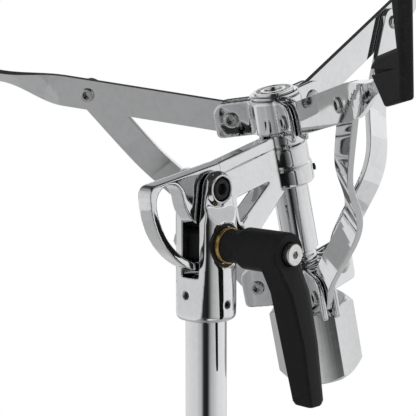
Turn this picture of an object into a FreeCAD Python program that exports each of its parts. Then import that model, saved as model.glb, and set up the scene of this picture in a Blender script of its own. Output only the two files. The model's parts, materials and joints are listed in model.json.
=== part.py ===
import FreeCAD, Part
import math
import os

import Sketcher
from FreeCAD import Placement, Rotation, Vector

# Driving dimensions of the snare drum stand, in millimetres and degrees.
SIZES = {
    # Clearances: pressed seats, running pins, and flats that pass each other.
    "seat_gap": 0.02,
    "running_gap": 0.05,
    "side_gap": 0.35,
    "overrun": 4.0,
    # Upper tube and the forked sleeve on its top.
    "pivot_height": 470.0,
    "tube_outer": 19.05,
    "tube_wall": 1.6,
    "tube_insertion": 150.0,
    "sleeve_outer": 27.6,
    "sleeve_drop": 60.0,
    "sleeve_bevel": 2.6,
    "fork_depth": 40.0,
    "fork_width": 10.6,
    "fork_floor": 3.0,
    "cheek_half": 10.1,
    "cheek_crown": 8.2,
    "crown_face": 10.5,
    "crown_bevel": 1.9,
    "crown_drop": 7.5,
    "crown_slope_drop": 16.5,
    "cheek_shoulder_drop": 15.0,
    "cheek_root_half": 11.8,
    "cheek_root_drop": 30.0,
    "lever_pad_radius": 7.9,
    "lever_pad_face": 12.0,
    "grub_radius": 1.65,
    "grub_sink": 0.5,
    "grub_rear_drop": 48.5,
    "grub_rear_angle": 168.5,
    "grub_side_drop": 52.0,
    # Pivot bolt through the fork.
    "bolt_radius": 4.0,
    "bolt_head_radius": 5.1,
    "bolt_head_height": 3.0,
    "bolt_head_face": 10.2,
    "bolt_socket_flats": 5.0,
    "bolt_socket_depth": 2.6,
    "bolt_nut_flats": 11.0,
    "bolt_nut_height": 5.0,
    # Tilter casting, in its own frame about the pivot.
    "tilt_angle": 15.0,
    "plate_thick": 8.4,
    "rail_thick": 7.0,
    "strut_thick": 9.8,
    "disc_radius": 18.5,
    "loop_outer": 38.0,
    "loop_wall": 3.6,
    "loop_rise": 12.4,
    "loop_corner": 4.5,
    "rail_rise": 9.6,
    "ledge_rise": 4.0,
    "ledge_start": 7.0,
    "groove_drop": 6.5,
    "slot_rise": 2.3,
    "slot_end": 6.5,
    "web_end": 13.0,
    "window_top_drop": 9.4,
    "window_foot_drop": 21.5,
    "window_margin": 4.6,
    "strut_foot": 14.5,
    "strut_start": 8.5,
    "post_reach": 54.4,
    "neck_outer": 21.0,
    "boss_outer": 23.4,
    "ring_outer": 25.0,
    "ring_drop": 16.2,
    "boss_bevel": 0.8,
    # Clamp lever: stud, brass hub, plastic handle, spring and screw.
    "lever_drop": 24.9,
    "stud_radius": 4.0,
    "stud_end": 17.0,
    "stud_nut_flats": 13.0,
    "stud_nut_height": 4.5,
    "block_half": 6.0,
    "block_bevel": 2.0,
    "hub_flange_radius": 7.6,
    "hub_flange_thick": 2.0,
    "hub_core_radius": 5.0,
    "hub_core_length": 16.0,
    "stud_seat": 9.0,
    "barrel_neck_radius": 7.5,
    "barrel_neck_length": 8.0,
    "barrel_cone_length": 4.0,
    "barrel_radius": 9.35,
    "barrel_end": 50.5,
    "barrel_round": 1.6,
    "spring_shelf": 6.0,
    "counterbore_radius": 5.3,
    "screw_radius": 2.5,
    "screw_head_radius": 4.8,
    "screw_head_height": 4.5,
    "screw_head_stand": 3.3,
    "screw_head_bevel": 0.4,
    "screw_socket_flats": 3.0,
    "screw_socket_depth": 1.6,
    "spring_wire": 1.0,
    "spring_turns": 6.0,
    "handle_length": 68.5,
    "handle_wide": 18.0,
    "handle_deep": 13.9,
    "handle_outset": 7.3,
    "handle_offset": 11.8,
    "handle_round": 1.1,
    "handle_tip_round": 2.6,
    # Basket post.
    "post_outer": 17.5,
    "post_wall": 2.6,
    "thread_outer": 16.6,
    "thread_start": 50.0,
    "thread_taper": 2.4,
    "post_foot": 119.0,
    "post_screw_turn": 35.0,
    # Upper hub with its clevises, rivets and cap.
    "hub_rise": 18.8,
    "hub_radius": 12.6,
    "hub_height": 17.5,
    "hub_ear_reach": 30.3,
    "hub_ear_thick": 2.3,
    "hub_pin_reach": 21.7,
    "hub_bevel": 1.0,
    "ear_round_top": 6.5,
    "ear_round_foot": 2.5,
    "pin_radius": 2.6,
    "rivet_head_radius": 5.0,
    "rivet_head_height": 1.9,
    "rivet_roll_radius": 3.5,
    "rivet_roll_height": 1.3,
    "rivet_dimple_radius": 1.9,
    "rivet_dimple_depth": 2.4,
    "cap_radius": 11.8,
    "cap_height": 1.6,
    "cap_ring_height": 1.1,
    # Lower hub, which the big nut carries up and down the thread.
    "lower_hub_radius": 13.4,
    "lower_hub_height": 21.0,
    "lower_ear_reach": 32.0,
    "lower_ear_thick": 2.6,
    "lower_pin_reach": 24.1,
    "nut_flats": 36.6,
    "nut_length": 38.0,
    "nut_bevel": 3.4,
    "nut_relief": 12.0,
    # Basket arms, braces and boots.
    "open_angle": 16.2,
    "arm_width": 15.0,
    "arm_thick": 3.0,
    "arm_pin_reach": 73.0,
    "taper_start": 86.0,
    "taper_margin": 3.0,
    "tip_width": 5.0,
    "tip_lift": 2.4,
    "tip_twist": 24.0,
    "tongue_margin": 9.7,
    "brace_width": 14.5,
    "brace_thick": 3.0,
    "brace_length": 126.6,
    "joggle_depth": 12.0,
    "joggle_bend": 30.0,
    "boot_thick": 5.6,
    "boot_seat_reach": 150.7,
    "boot_seat_length": 28.6,
    "boot_seat_rise": 12.5,
    "boot_foot_drop": 6.3,
    "boot_foot_setback": 6.8,
    "boot_heel": 3.5,
    "boot_lip": 2.0,
    "boot_height": 34.0,
    "boot_inner_lean": 7.5,
    "boot_outer_lean": 26.0,
    "boot_corner": 2.4,
    "boot_round": 1.9,
    "notch_drop": 2.9,
    "notch_gap": 3.0,
    "notch_fall": 0.9,
    "notch_web": 1.6,
    # Base: outer tube, height clamp, memory lock.
    "base_outer": 25.4,
    "base_wall": 1.5,
    "base_bottom": 15.0,
    "plug_flange": 4.0,
    "plug_depth": 10.0,
    "clamp_top": 304.0,
    "clamp_height": 36.0,
    "clamp_outer": 37.0,
    "clamp_lip": 3.0,
    "clamp_split": 2.4,
    "lug_reach": 39.0,
    "lug_width": 22.0,
    "lug_height": 20.0,
    "lug_bolt_reach": 30.5,
    "wing_bolt_radius": 4.0,
    "wing_hub_radius": 6.5,
    "wing_hub_length": 12.0,
    "wing_span": 35.0,
    "wing_height": 11.0,
    "wing_thick": 5.0,
    "bush_length": 30.0,
    "lock_outer": 34.0,
    "lock_height": 13.0,
    "lock_split": 2.0,
    "lock_screw_radius": 3.0,
    "lock_screw_head_radius": 4.5,
    "lock_screw_head_height": 5.0,
    "lock_screw_square": 5.0,
    # Legs, struts, feet and the collars that carry them.
    "collar_height": 150.0,
    "collar_radius": 16.2,
    "collar_length": 26.0,
    "collar_ear_reach": 30.0,
    "leg_pin_reach": 24.0,
    "leg_width": 14.0,
    "leg_thick": 2.5,
    "leg_lug_thick": 5.0,
    "strut_length": 108.0,
    "strut_width": 13.0,
    "strut_strip_thick": 4.0,
    "bracket_ear_thick": 2.6,
    "bracket_length": 18.0,
    "foot_reach": 230.0,
    "foot_radius": 13.0,
    "foot_height": 22.0,
    "foot_round": 3.0,
    "leg_end_rise": 10.0,
}


def spread(names, start_share):
    """Azimuths of evenly spread arms or legs, the first of them turned by a share of the pitch."""
    return {name: 360 / len(names) * (index + start_share) for index, name in enumerate(names)}


# Azimuths of the basket arms about the post and of the legs about the tube.
BASKET = spread(("far", "left", "front"), 0)
LEGS = spread(("right", "rear", "side"), 0.5)
# The side of its arm on which each brace is riveted.
BRACE_SIDE = {"left": -1, "front": 1, "far": -1}
# Bends of a brace as shares of its length from the arm rivet down to the lower hub.
JOGGLE_SHARES = (0.36, 0.53, 0.64, 0.86)
# Where the tapered arm tip is measured, as shares of its length.
TAPER_SHARES = (0.0, 0.34, 0.68, 1.0)
# The raised rings of the hub cap, as shares of its radius.
CAP_RING_SHARES = (0.82, 0.7, 0.52, 0.38)
# How deep the boot's notch reaches, as a share of its seat's length.
NOTCH_DEPTH_SHARE = 0.83
# Sections of the handle's blade from the barrel to its tip: shares of length, width, depth and outset.
HANDLE_DROP_SHARES = (0.0, 0.25, 0.58, 1.0)
HANDLE_WIDTH_SHARES = (1.0, 0.81, 0.66, 0.58)
HANDLE_DEPTH_SHARES = (0.83, 0.935, 1.0, 0.82)
HANDLE_OUTSET_SHARES = (0.0, 0.73, 1.0, 1.0)
# How the tip rounds off: distances from its end and how far it is drawn in, as shares of its rounding.
TIP_RISE_SHARES = (1.0, 0.3, 0.0)
TIP_INSET_SHARES = (0.0, 0.29, 1.0)
# The crest of the handle's outer face, as a share of its half width.
HANDLE_CREST_SHARE = 0.33
# How far the nut's corners are turned from the tilter's plane.
NUT_TURN = 13.0
LEFT, RIGHT = 1, -1

doc = FreeCAD.newDocument("snare_stand")


class Size:
    """A length that carries both its value and the sheet formula it comes from."""

    def __init__(self, value, text):
        self.value = float(value)
        self.text = text

    def __add__(self, other):
        other = as_size(other)
        return Size(self.value + other.value, f"({self.text} + {other.text})")

    def __sub__(self, other):
        other = as_size(other)
        return Size(self.value - other.value, f"({self.text} - {other.text})")

    def __mul__(self, other):
        other = as_size(other)
        return Size(self.value * other.value, f"({self.text} * {other.text})")

    def __truediv__(self, other):
        other = as_size(other)
        return Size(self.value / other.value, f"({self.text} / {other.text})")

    def __neg__(self):
        return Size(-self.value, f"(0 - {self.text})")

    def __float__(self):
        return self.value


def as_size(entry):
    """Wraps a plain number as a size."""
    if isinstance(entry, Size):
        return entry
    return Size(entry, f"{float(entry):.9f}")


class Dimensions:
    """The sheet's cells by name."""

    def __init__(self, table):
        self.sheet = doc.addObject("Spreadsheet::Sheet", "Sizes")
        for row, (name, value) in enumerate(table.items(), start=1):
            self.sheet.set(f"A{row}", name)
            self.sheet.set(f"B{row}", str(value))
            self.sheet.setAlias(f"B{row}", name)
        doc.recompute()

    def __getattr__(self, name):
        return Size(self.sheet.get(name), f"Sizes.{name}")


d = Dimensions(SIZES)
ZERO = as_size(0.0)
parts = {}


def at(x=0.0, y=0.0, z=0.0):
    """A placement that only moves."""
    return Placement(Vector(float(x), float(y), float(z)), Rotation())


def turn(axis, angle):
    """A placement that only turns about an axis through the origin."""
    return Placement(Vector(), Rotation(axis, float(angle)))


X_AXIS = Vector(1, 0, 0)
Y_AXIS = Vector(0, 1, 0)
Z_AXIS = Vector(0, 0, 1)


def keep(label, feature, place=Placement()):
    """Registers a finished sub-part under its own label and place."""
    feature.Label = label
    feature.Placement = place
    parts[label] = feature
    return feature


def origin_plane(body, role):
    """The body's own origin plane with this role."""
    return [entry for entry in body.Origin.OriginFeatures if entry.Role == role][0]


def new_sketch(body, role):
    """A sketch on one of the body's origin planes."""
    sketch = body.newObject("Sketcher::SketchObject", "Sketch")
    sketch.AttachmentSupport = (origin_plane(body, role), [""])
    sketch.MapMode = "FlatFace"
    return sketch


def fix(sketch, kind, geometry, point, size):
    """Ties one coordinate of a point to the sheet."""
    index = sketch.addConstraint(Sketcher.Constraint(kind, -1, 1, geometry, point, size.value))
    sketch.setExpression(f"Constraints[{index}]", size.text)


def arc_between(start, end, radius, way):
    """The short arc from start to end that bends to the left or to the right."""
    chord = end - start
    half = chord.Length / 2
    middle = (start + end) * 0.5
    normal = Vector(-chord.y, chord.x, 0).normalize()
    centre = middle + normal * (way * math.sqrt(max(radius * radius - half * half, 0.0)))
    first, last = (start, end) if way == LEFT else (end, start)
    low = math.atan2(first.y - centre.y, first.x - centre.x)
    high = math.atan2(last.y - centre.y, last.x - centre.x)
    if high < low:
        high += 2 * math.pi
    return Part.ArcOfCircle(Part.Circle(centre, Z_AXIS, radius), low, high)


def draw(sketch, points):
    """Draws a closed outline. A point is (x, y), or (x, y, radius, way) before an arc."""
    first = sketch.GeometryCount
    count = len(points)
    flat = [Vector(float(point[0]), float(point[1]), 0) for point in points]
    ends = []
    for index, point in enumerate(points):
        start, end = flat[index], flat[(index + 1) % count]
        if len(point) == 2:
            sketch.addGeometry(Part.LineSegment(start, end), False)
            ends.append((1, 2))
        else:
            sketch.addGeometry(arc_between(start, end, float(point[2]), point[3]), False)
            ends.append((1, 2) if point[3] == LEFT else (2, 1))
    for index, point in enumerate(points):
        after = (index + 1) % count
        here = first + index
        sketch.addConstraint(
            Sketcher.Constraint("Coincident", here, ends[index][1], first + after, ends[after][0])
        )
        fix(sketch, "DistanceX", here, ends[index][0], as_size(point[0]))
        fix(sketch, "DistanceY", here, ends[index][0], as_size(point[1]))
        if len(point) > 2:
            radius = as_size(point[2])
            tied = sketch.addConstraint(Sketcher.Constraint("Radius", here, radius.value))
            sketch.setExpression(f"Constraints[{tied}]", radius.text)


def turned(profile, name="Turned"):
    """A body turned about Z from (radius, height) points."""
    body = doc.addObject("PartDesign::Body", name)
    sketch = new_sketch(body, "XZ_Plane")
    draw(sketch, profile)
    revolution = body.newObject("PartDesign::Revolution", "Revolution")
    revolution.Profile = sketch
    revolution.ReferenceAxis = (sketch, ["V_Axis"])
    revolution.Angle = 360.0
    return body


def prism(outlines, length, role="XZ_Plane", name="Prism"):
    """A body padded evenly both ways from its plane; later outlines are windows."""
    body = doc.addObject("PartDesign::Body", name)
    sketch = new_sketch(body, role)
    for outline in outlines:
        draw(sketch, outline)
    pad = body.newObject("PartDesign::Pad", "Pad")
    pad.Profile = sketch
    pad.SideType = "Symmetric"
    pad.setExpression("Length", as_size(length).text)
    return body


def rod(radius, length, place=Placement()):
    """A cylinder from its placement's origin along its Z."""
    shape = doc.addObject("Part::Cylinder", "Rod")
    shape.setExpression("Radius", as_size(radius).text)
    shape.setExpression("Height", as_size(length).text)
    shape.Placement = place
    return shape


def block(long, deep, high, place=Placement()):
    """A box centred on its placement's origin in X and Y, standing on it in Z."""
    shape = doc.addObject("Part::Box", "Block")
    shape.setExpression("Length", as_size(long).text)
    shape.setExpression("Width", as_size(deep).text)
    shape.setExpression("Height", as_size(high).text)
    centred = at(-float(long) / 2, -float(deep) / 2)
    shape.Placement = place.multiply(centred)
    return shape


def joined(shapes):
    """The union of several solids."""
    fuse = doc.addObject("Part::MultiFuse", "Join")
    fuse.Shapes = shapes
    fuse.Refine = True
    return fuse


def cut(base, tools):
    """A solid less one or more tools."""
    result = doc.addObject("Part::Cut", "Cut")
    result.Base = base
    result.Tool = tools[0] if len(tools) == 1 else joined(tools)
    return result


def shared(first, second):
    """What two solids have in common."""
    result = doc.addObject("Part::Common", "Shared")
    result.Base = first
    result.Tool = second
    return result


def grouped(shapes):
    """Separate solids kept as one sub-part."""
    group = doc.addObject("Part::Compound", "Group")
    group.Links = shapes
    return group


def formed(shape, name="Formed"):
    """A feature whose shape is worked out here."""
    feature = doc.addObject("Part::Feature", name)
    feature.Shape = shape
    return feature


def sleeve_profile(inner, outer, low, high, bevel=ZERO):
    """Section of a ring or tube, with its outer corners bevelled if asked."""
    if bevel is ZERO:
        return [(inner, low), (outer, low), (outer, high), (inner, high)]
    return [
        (inner, low),
        (outer - bevel, low),
        (outer, low + bevel),
        (outer, high - bevel),
        (outer - bevel, high),
        (inner, high),
    ]


def hexagon(flats):
    """Outline of a hexagon with two corners on X."""
    corner = flats / (2 * math.cos(math.pi / 6))
    steps = [math.pi / 3 * index for index in range(6)]
    return [(corner * math.cos(step), corner * math.sin(step)) for step in steps]


def hexagon_rod(flats, length, place=Placement()):
    """A hexagonal bar centred on its placement's origin."""
    bar = prism([hexagon(flats)], length, "XY_Plane", "Hexagon")
    bar.Placement = place
    return bar


def rivet(grip):
    """A rivet along Z about its middle: a domed head at one end, a rolled lip at the other."""
    half = grip / 2 + d.seat_gap
    dome = half + d.rivet_head_height
    roll = half + d.rivet_roll_height
    floor = roll - d.rivet_dimple_depth
    head = d.rivet_head_radius
    rise = d.rivet_head_height
    dome_radius = (head * head + rise * rise) / (rise * 2)
    profile = [
        (ZERO, -dome, dome_radius, LEFT),
        (head, -half),
        (d.pin_radius, -half),
        (d.pin_radius, half),
        (d.rivet_roll_radius, half),
        (d.rivet_roll_radius, half + d.rivet_roll_height / 2),
        (d.rivet_roll_radius - d.rivet_roll_height / 2, roll),
        (d.rivet_dimple_radius, roll),
        (d.rivet_dimple_radius, floor),
        (ZERO, floor),
    ]
    return turned(profile, "Rivet")


# Frames that the assembly hangs from.
PIVOT = at(z=d.pivot_height)
TILTER = PIVOT.multiply(turn(Y_AXIS, -float(d.tilt_angle)))
POST = TILTER.multiply(at(x=d.post_reach))
LEVER = PIVOT.multiply(at(z=-d.lever_drop)).multiply(turn(X_AXIS, 90))


def arm_frame(azimuth):
    """Frame of a basket arm: X along the arm, Z to its upper edge."""
    hub = POST.multiply(turn(Z_AXIS, azimuth))
    return hub.multiply(at(x=d.hub_pin_reach, z=d.hub_rise)).multiply(turn(Y_AXIS, -float(d.open_angle)))


def lower_pin_drop():
    """Depth of the lower hub's pins under the pivot level, from the open basket's triangle."""
    angle = math.radians(float(d.open_angle))
    reach = float(d.hub_pin_reach + d.arm_pin_reach * math.cos(angle) - d.lower_pin_reach)
    rise = float(d.hub_rise + d.arm_pin_reach * math.sin(angle))
    return math.sqrt(float(d.brace_length) ** 2 - reach ** 2) - rise


def brace_frame(azimuth):
    """Frame of a brace: X from the lower hub's pin to the arm's rivet."""
    angle = math.radians(float(d.open_angle))
    reach = float(d.hub_pin_reach + d.arm_pin_reach * math.cos(angle) - d.lower_pin_reach)
    lean = math.degrees(math.acos(reach / float(d.brace_length)))
    hub = POST.multiply(turn(Z_AXIS, azimuth))
    foot = hub.multiply(at(x=d.lower_pin_reach, z=-lower_pin_drop()))
    return foot.multiply(turn(Y_AXIS, -lean))


def leg_angle():
    """Angle of a spread leg from the vertical, in degrees."""
    return math.degrees(
        math.atan2(float(d.foot_reach - d.leg_pin_reach), float(d.collar_height - d.leg_end_rise))
    )


def leg_length():
    """Distance from a leg's pin to the middle of its foot."""
    return math.hypot(float(d.foot_reach - d.leg_pin_reach), float(d.collar_height - d.leg_end_rise))


def bracket_height():
    """Height of the strut pins, which mirrors the leg pins about the leg's rivet."""
    return float(d.collar_height) - 2 * float(d.strut_length) * math.cos(math.radians(leg_angle()))


def leg_frame(azimuth):
    """Frame of a leg: X from the collar pin to the foot."""
    hub = turn(Z_AXIS, azimuth).multiply(at(x=d.leg_pin_reach, z=d.collar_height))
    return hub.multiply(turn(Y_AXIS, 90 - leg_angle()))


def strut_frame(azimuth):
    """Frame of a strut: X from the bracket pin up to the leg's rivet."""
    hub = turn(Z_AXIS, azimuth).multiply(at(x=d.leg_pin_reach, z=bracket_height()))
    return hub.multiply(turn(Y_AXIS, leg_angle() - 90))


def upper_tube():
    """Height tube, from inside the base tube up to the fork's floor."""
    top = d.pivot_height - d.fork_depth - d.fork_floor
    bottom = d.clamp_top - d.tube_insertion
    outer = d.tube_outer / 2
    keep("upper_tube", turned(sleeve_profile(outer - d.tube_wall, outer, bottom, top)))


def tilter_sleeve():
    """Forked casting that carries the tilter: a round body whose two cheeks rise to the pivot."""
    outer = d.sleeve_outer / 2
    crown = d.cheek_crown
    low = -d.sleeve_drop
    round_body = turned(
        [
            (ZERO, low),
            (outer - d.sleeve_bevel, low, d.sleeve_bevel, LEFT),
            (outer, low + d.sleeve_bevel),
            (outer, crown),
            (ZERO, crown),
        ]
    )
    root = -d.cheek_root_drop
    shoulder = -d.cheek_shoulder_drop
    side = prism(
        [
            [
                (-d.cheek_root_half, low),
                (d.cheek_root_half, low),
                (d.cheek_half, root),
                (d.cheek_half, shoulder),
                (crown, ZERO, crown, LEFT),
                (ZERO, crown, crown, LEFT),
                (-crown, ZERO),
                (-d.cheek_half, shoulder),
                (-d.cheek_half, root),
            ]
        ],
        d.sleeve_outer,
    )
    trim = prism(
        [
            [
                (-(outer + d.overrun), crown + d.overrun),
                (-(outer + d.overrun), -d.crown_slope_drop),
                (-outer, -d.crown_slope_drop),
                (-d.crown_face + d.crown_bevel, -d.crown_drop),
                (-d.crown_face + d.crown_bevel, crown + d.overrun),
            ]
        ],
        d.sleeve_outer,
        "YZ_Plane",
    )
    body = cut(shared(round_body, side), [trim])
    crown_boss = turned(
        [
            (ZERO, d.fork_width / 2),
            (crown, d.fork_width / 2),
            (crown, d.crown_face - d.crown_bevel),
            (crown - d.crown_bevel, d.crown_face),
            (ZERO, d.crown_face),
        ]
    )
    crown_boss.Placement = turn(X_AXIS, 90)
    pad_length = d.lever_pad_face - d.fork_width / 2
    pad_place = at(z=-d.lever_drop).multiply(turn(X_AXIS, 90)).multiply(at(z=d.fork_width / 2))
    pad = rod(d.lever_pad_radius, pad_length, pad_place)
    solid = joined([body, crown_boss, pad])
    fork_high = d.fork_depth + d.sleeve_drop
    fork = block(d.sleeve_outer * 2, d.fork_width, fork_high, at(z=-d.fork_depth))
    bore_length = d.sleeve_drop - d.fork_depth - d.fork_floor
    bore = rod(d.tube_outer / 2 + d.seat_gap, bore_length + d.overrun, at(z=-(d.sleeve_drop + d.overrun)))
    across = turn(X_AXIS, 90)
    reach = d.sleeve_outer
    bolt_hole = rod(d.bolt_radius + d.seat_gap, reach * 2, across.multiply(at(z=-reach)))
    head_floor = d.bolt_head_face - d.bolt_head_height - d.seat_gap
    head_hole = rod(d.bolt_head_radius + d.side_gap, reach, across.multiply(at(z=head_floor)))
    stud_place = at(z=-d.lever_drop).multiply(across)
    stud_hole = rod(d.stud_radius + d.running_gap, reach * 2, stud_place.multiply(at(z=-reach)))
    spot_place = stud_place.multiply(at(z=d.lever_pad_face))
    spot = rod(d.barrel_radius + d.side_gap, reach, spot_place)
    nut_floor = outer - d.stud_nut_height
    nut_spots = [
        hexagon_rod(d.bolt_nut_flats + d.seat_gap * 2, reach, at(y=outer - d.bolt_nut_height + reach / 2)
                    .multiply(across)),
        hexagon_rod(d.stud_nut_flats + d.seat_gap * 2, reach, at(y=nut_floor + reach / 2, z=-d.lever_drop)
                    .multiply(across)),
    ]
    grub_holes = [rod(d.grub_radius + d.seat_gap, reach, place) for place in grub_places()]
    tools = [fork, bore, bolt_hole, head_hole, stud_hole, spot] + nut_spots + grub_holes
    keep("tilter_sleeve", cut(solid, tools), PIVOT)


def grub_places():
    """Axes of the two small screws that fix the sleeve, pointing outwards from the tube."""
    start = d.tube_outer / 2 + d.seat_gap
    rear = at(z=-d.grub_rear_drop).multiply(turn(Z_AXIS, d.grub_rear_angle)).multiply(turn(Y_AXIS, 90))
    side = at(z=-d.grub_side_drop).multiply(turn(X_AXIS, 90))
    return [place.multiply(at(z=start)) for place in (rear, side)]


def sleeve_screws():
    """Two socket grub screws that hold the sleeve on the tube."""
    screws = []
    for place, surface in zip(grub_places(), (d.cheek_root_half - d.grub_sink, d.sleeve_outer / 2)):
        length = surface - d.tube_outer / 2 - d.grub_sink
        stem = rod(d.grub_radius, length, place)
        key = hexagon_rod(d.grub_radius, length, place.multiply(at(z=length)))
        screws.append(cut(stem, [key]))
    keep("sleeve_screws", grouped(screws), PIVOT)


def pivot_bolt():
    """Black socket-head bolt on which the tilter swings."""
    face = d.bolt_head_face
    under = face - d.bolt_head_height
    tail = -(d.sleeve_outer / 2)
    stem = turned(
        [
            (ZERO, tail),
            (d.bolt_radius, tail),
            (d.bolt_radius, under),
            (d.bolt_head_radius, under),
            (d.bolt_head_radius, face - d.boss_bevel),
            (d.bolt_head_radius - d.boss_bevel, face),
            (ZERO, face),
        ]
    )
    socket = hexagon_rod(d.bolt_socket_flats, d.bolt_socket_depth * 2, at(z=face))
    keep("pivot_bolt", cut(stem, [socket]), PIVOT.multiply(turn(X_AXIS, 90)))


def nut_ring(flats, height, bore):
    """A plain hexagon nut standing on its placement's origin."""
    bar = hexagon_rod(flats, height, at(z=height / 2))
    return cut(bar, [rod(bore, height + d.overrun * 2, at(z=-d.overrun))])


def pivot_nut():
    """Nut let into the far cheek for the pivot bolt."""
    outer = d.sleeve_outer / 2
    place = PIVOT.multiply(turn(X_AXIS, 90)).multiply(at(z=-outer))
    nut = nut_ring(d.bolt_nut_flats, d.bolt_nut_height - d.seat_gap, d.bolt_radius + d.seat_gap)
    keep("pivot_nut", nut, place)


def lever_nut():
    """Nut let into the far cheek, into which the clamp stud screws."""
    outer = d.sleeve_outer / 2
    place = LEVER.multiply(at(z=-outer))
    nut = nut_ring(d.stud_nut_flats, d.stud_nut_height - d.seat_gap, d.stud_radius + d.running_gap)
    keep("lever_nut", nut, place)


def clamp_block():
    """Black block on the stud that fills the fork between the disc and the loop."""
    half = d.block_half
    bevel = d.block_bevel
    high = d.lever_drop - d.disc_radius - d.side_gap
    low = d.loop_outer - d.loop_wall - d.lever_drop - d.side_gap * 2
    outline = [
        (-half, -low + bevel),
        (-half + bevel, -low),
        (half - bevel, -low),
        (half, -low + bevel),
        (half, high - bevel),
        (half - bevel, high),
        (-half + bevel, high),
        (-half, high - bevel),
    ]
    body = prism([outline], d.fork_width - d.seat_gap * 2, name="Block")
    across = turn(X_AXIS, 90).multiply(at(z=-d.fork_width))
    hole = rod(d.stud_radius + d.running_gap, d.fork_width * 2, across)
    keep("clamp_block", cut(body, [hole]), PIVOT.multiply(at(z=-d.lever_drop)))


def lever_face():
    """Distance of the brass flange's inner face from the tilter plane."""
    return d.lever_pad_face + d.side_gap


def lever_stud():
    """Steel stud that draws the cheeks together."""
    top = lever_face() + d.stud_seat
    keep("lever_stud", rod(d.stud_radius, top + d.stud_end), LEVER.multiply(at(z=-d.stud_end)))


def lever_bush():
    """Brass hub of the lever: a flange at the cheek and a core inside the barrel."""
    low = lever_face()
    flange = low + d.hub_flange_thick
    top = low + d.hub_core_length
    seat = low + d.stud_seat + d.seat_gap
    bore = d.stud_radius + d.seat_gap
    screw = d.screw_radius + d.seat_gap
    profile = [
        (bore, low),
        (d.hub_flange_radius, low),
        (d.hub_flange_radius, flange),
        (d.hub_core_radius, flange),
        (d.hub_core_radius, top),
        (screw, top),
        (screw, seat),
        (bore, seat),
    ]
    keep("lever_bush", turned(profile), LEVER)


def handle_section(shares, inset):
    """Bevelled section of the blade at its shares of drop, width, depth and outset, drawn in by an inset."""
    drop, width, depth, outset = shares
    half = float(d.handle_wide) * width / 2 - inset
    inner = float(d.barrel_end - d.barrel_round)
    near = inner + float(d.handle_outset + d.barrel_round) * outset - inset
    far = near - float(d.handle_deep) * depth + 2 * inset
    crest = half * HANDLE_CREST_SHARE
    bevel = float(d.handle_round)
    level = -float(d.handle_length) * drop
    middle = float(d.handle_offset) * drop
    outline = [
        (bevel - half, far),
        (half - bevel, far),
        (half, far + bevel),
        (half, near - crest),
        (crest, near),
        (bevel - half, near),
        (-half, near - bevel),
        (-half, far + bevel),
    ]
    corners = [Vector(middle + across, level, along) for across, along in outline]
    return Part.makePolygon(corners + corners[:1])


def handle_blade():
    """The hanging part of the handle: it leans out from the barrel's end and narrows to its rounded tip."""
    sections = list(zip(HANDLE_DROP_SHARES, HANDLE_WIDTH_SHARES, HANDLE_DEPTH_SHARES, HANDLE_OUTSET_SHARES))
    wires = [handle_section(shares, 0) for shares in sections[:-1]]
    tip_round = float(d.handle_tip_round)
    _, width, depth, outset = sections[-1]
    for rise, inset in zip(TIP_RISE_SHARES, TIP_INSET_SHARES):
        drop = 1 - rise * tip_round / float(d.handle_length)
        wires.append(handle_section((drop, width, depth, outset), inset * tip_round))
    return Part.makeLoft(wires, True, True)


def lever_handle():
    """Black moulded handle: a stepped barrel with a hanging blade, bored for its hub and spring."""
    low = lever_face() + d.hub_flange_thick + d.side_gap
    neck = low + d.barrel_neck_length
    wide = neck + d.barrel_cone_length
    end = d.barrel_end
    barrel = turned(
        [
            (ZERO, low),
            (d.barrel_neck_radius, low),
            (d.barrel_neck_radius, neck),
            (d.barrel_radius, wide),
            (d.barrel_radius, end - d.barrel_round, d.barrel_round, LEFT),
            (d.barrel_radius - d.barrel_round, end),
            (ZERO, end),
        ]
    )
    blade = formed(handle_blade(), "Blade")
    solid = joined([barrel, blade])
    socket_top = lever_face() + d.hub_core_length + d.side_gap
    shelf = socket_top + d.spring_shelf
    socket = rod(d.hub_core_radius + d.running_gap, socket_top, Placement())
    passage = rod(d.screw_radius + d.side_gap, shelf + d.overrun, Placement())
    well = rod(d.counterbore_radius, end, at(z=shelf))
    keep("lever_handle", cut(solid, [socket, passage, well]), LEVER)


def screw_face():
    """Distance of the lever screw's face from the tilter plane."""
    return d.barrel_end + d.screw_head_stand


def lever_screw():
    """Bright screw in the barrel's end that keeps the handle on its hub."""
    face = screw_face()
    under = face - d.screw_head_height
    tail = lever_face() + d.stud_seat + d.seat_gap * 2
    stem = turned(
        [
            (ZERO, tail),
            (d.screw_radius, tail),
            (d.screw_radius, under),
            (d.screw_head_radius, under),
            (d.screw_head_radius, face - d.screw_head_bevel),
            (d.screw_head_radius - d.screw_head_bevel, face),
            (ZERO, face),
        ]
    )
    socket = hexagon_rod(d.screw_socket_flats, d.screw_socket_depth * 2, at(z=face))
    keep("lever_screw", cut(stem, [socket]), LEVER)


def helix_wire(radius, low, high, turns):
    """Quarter-turn arcs along a helix about Z."""
    count = int(round(float(turns) * 4))
    rise = (high - low) / count

    def point(step):
        angle = math.pi / 2 * step
        return Vector(radius * math.cos(angle), radius * math.sin(angle), low + rise * step)

    arcs = [Part.Arc(point(step), point(step + 0.5), point(step + 1)).toShape() for step in range(count)]
    return Part.Wire(arcs)


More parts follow.
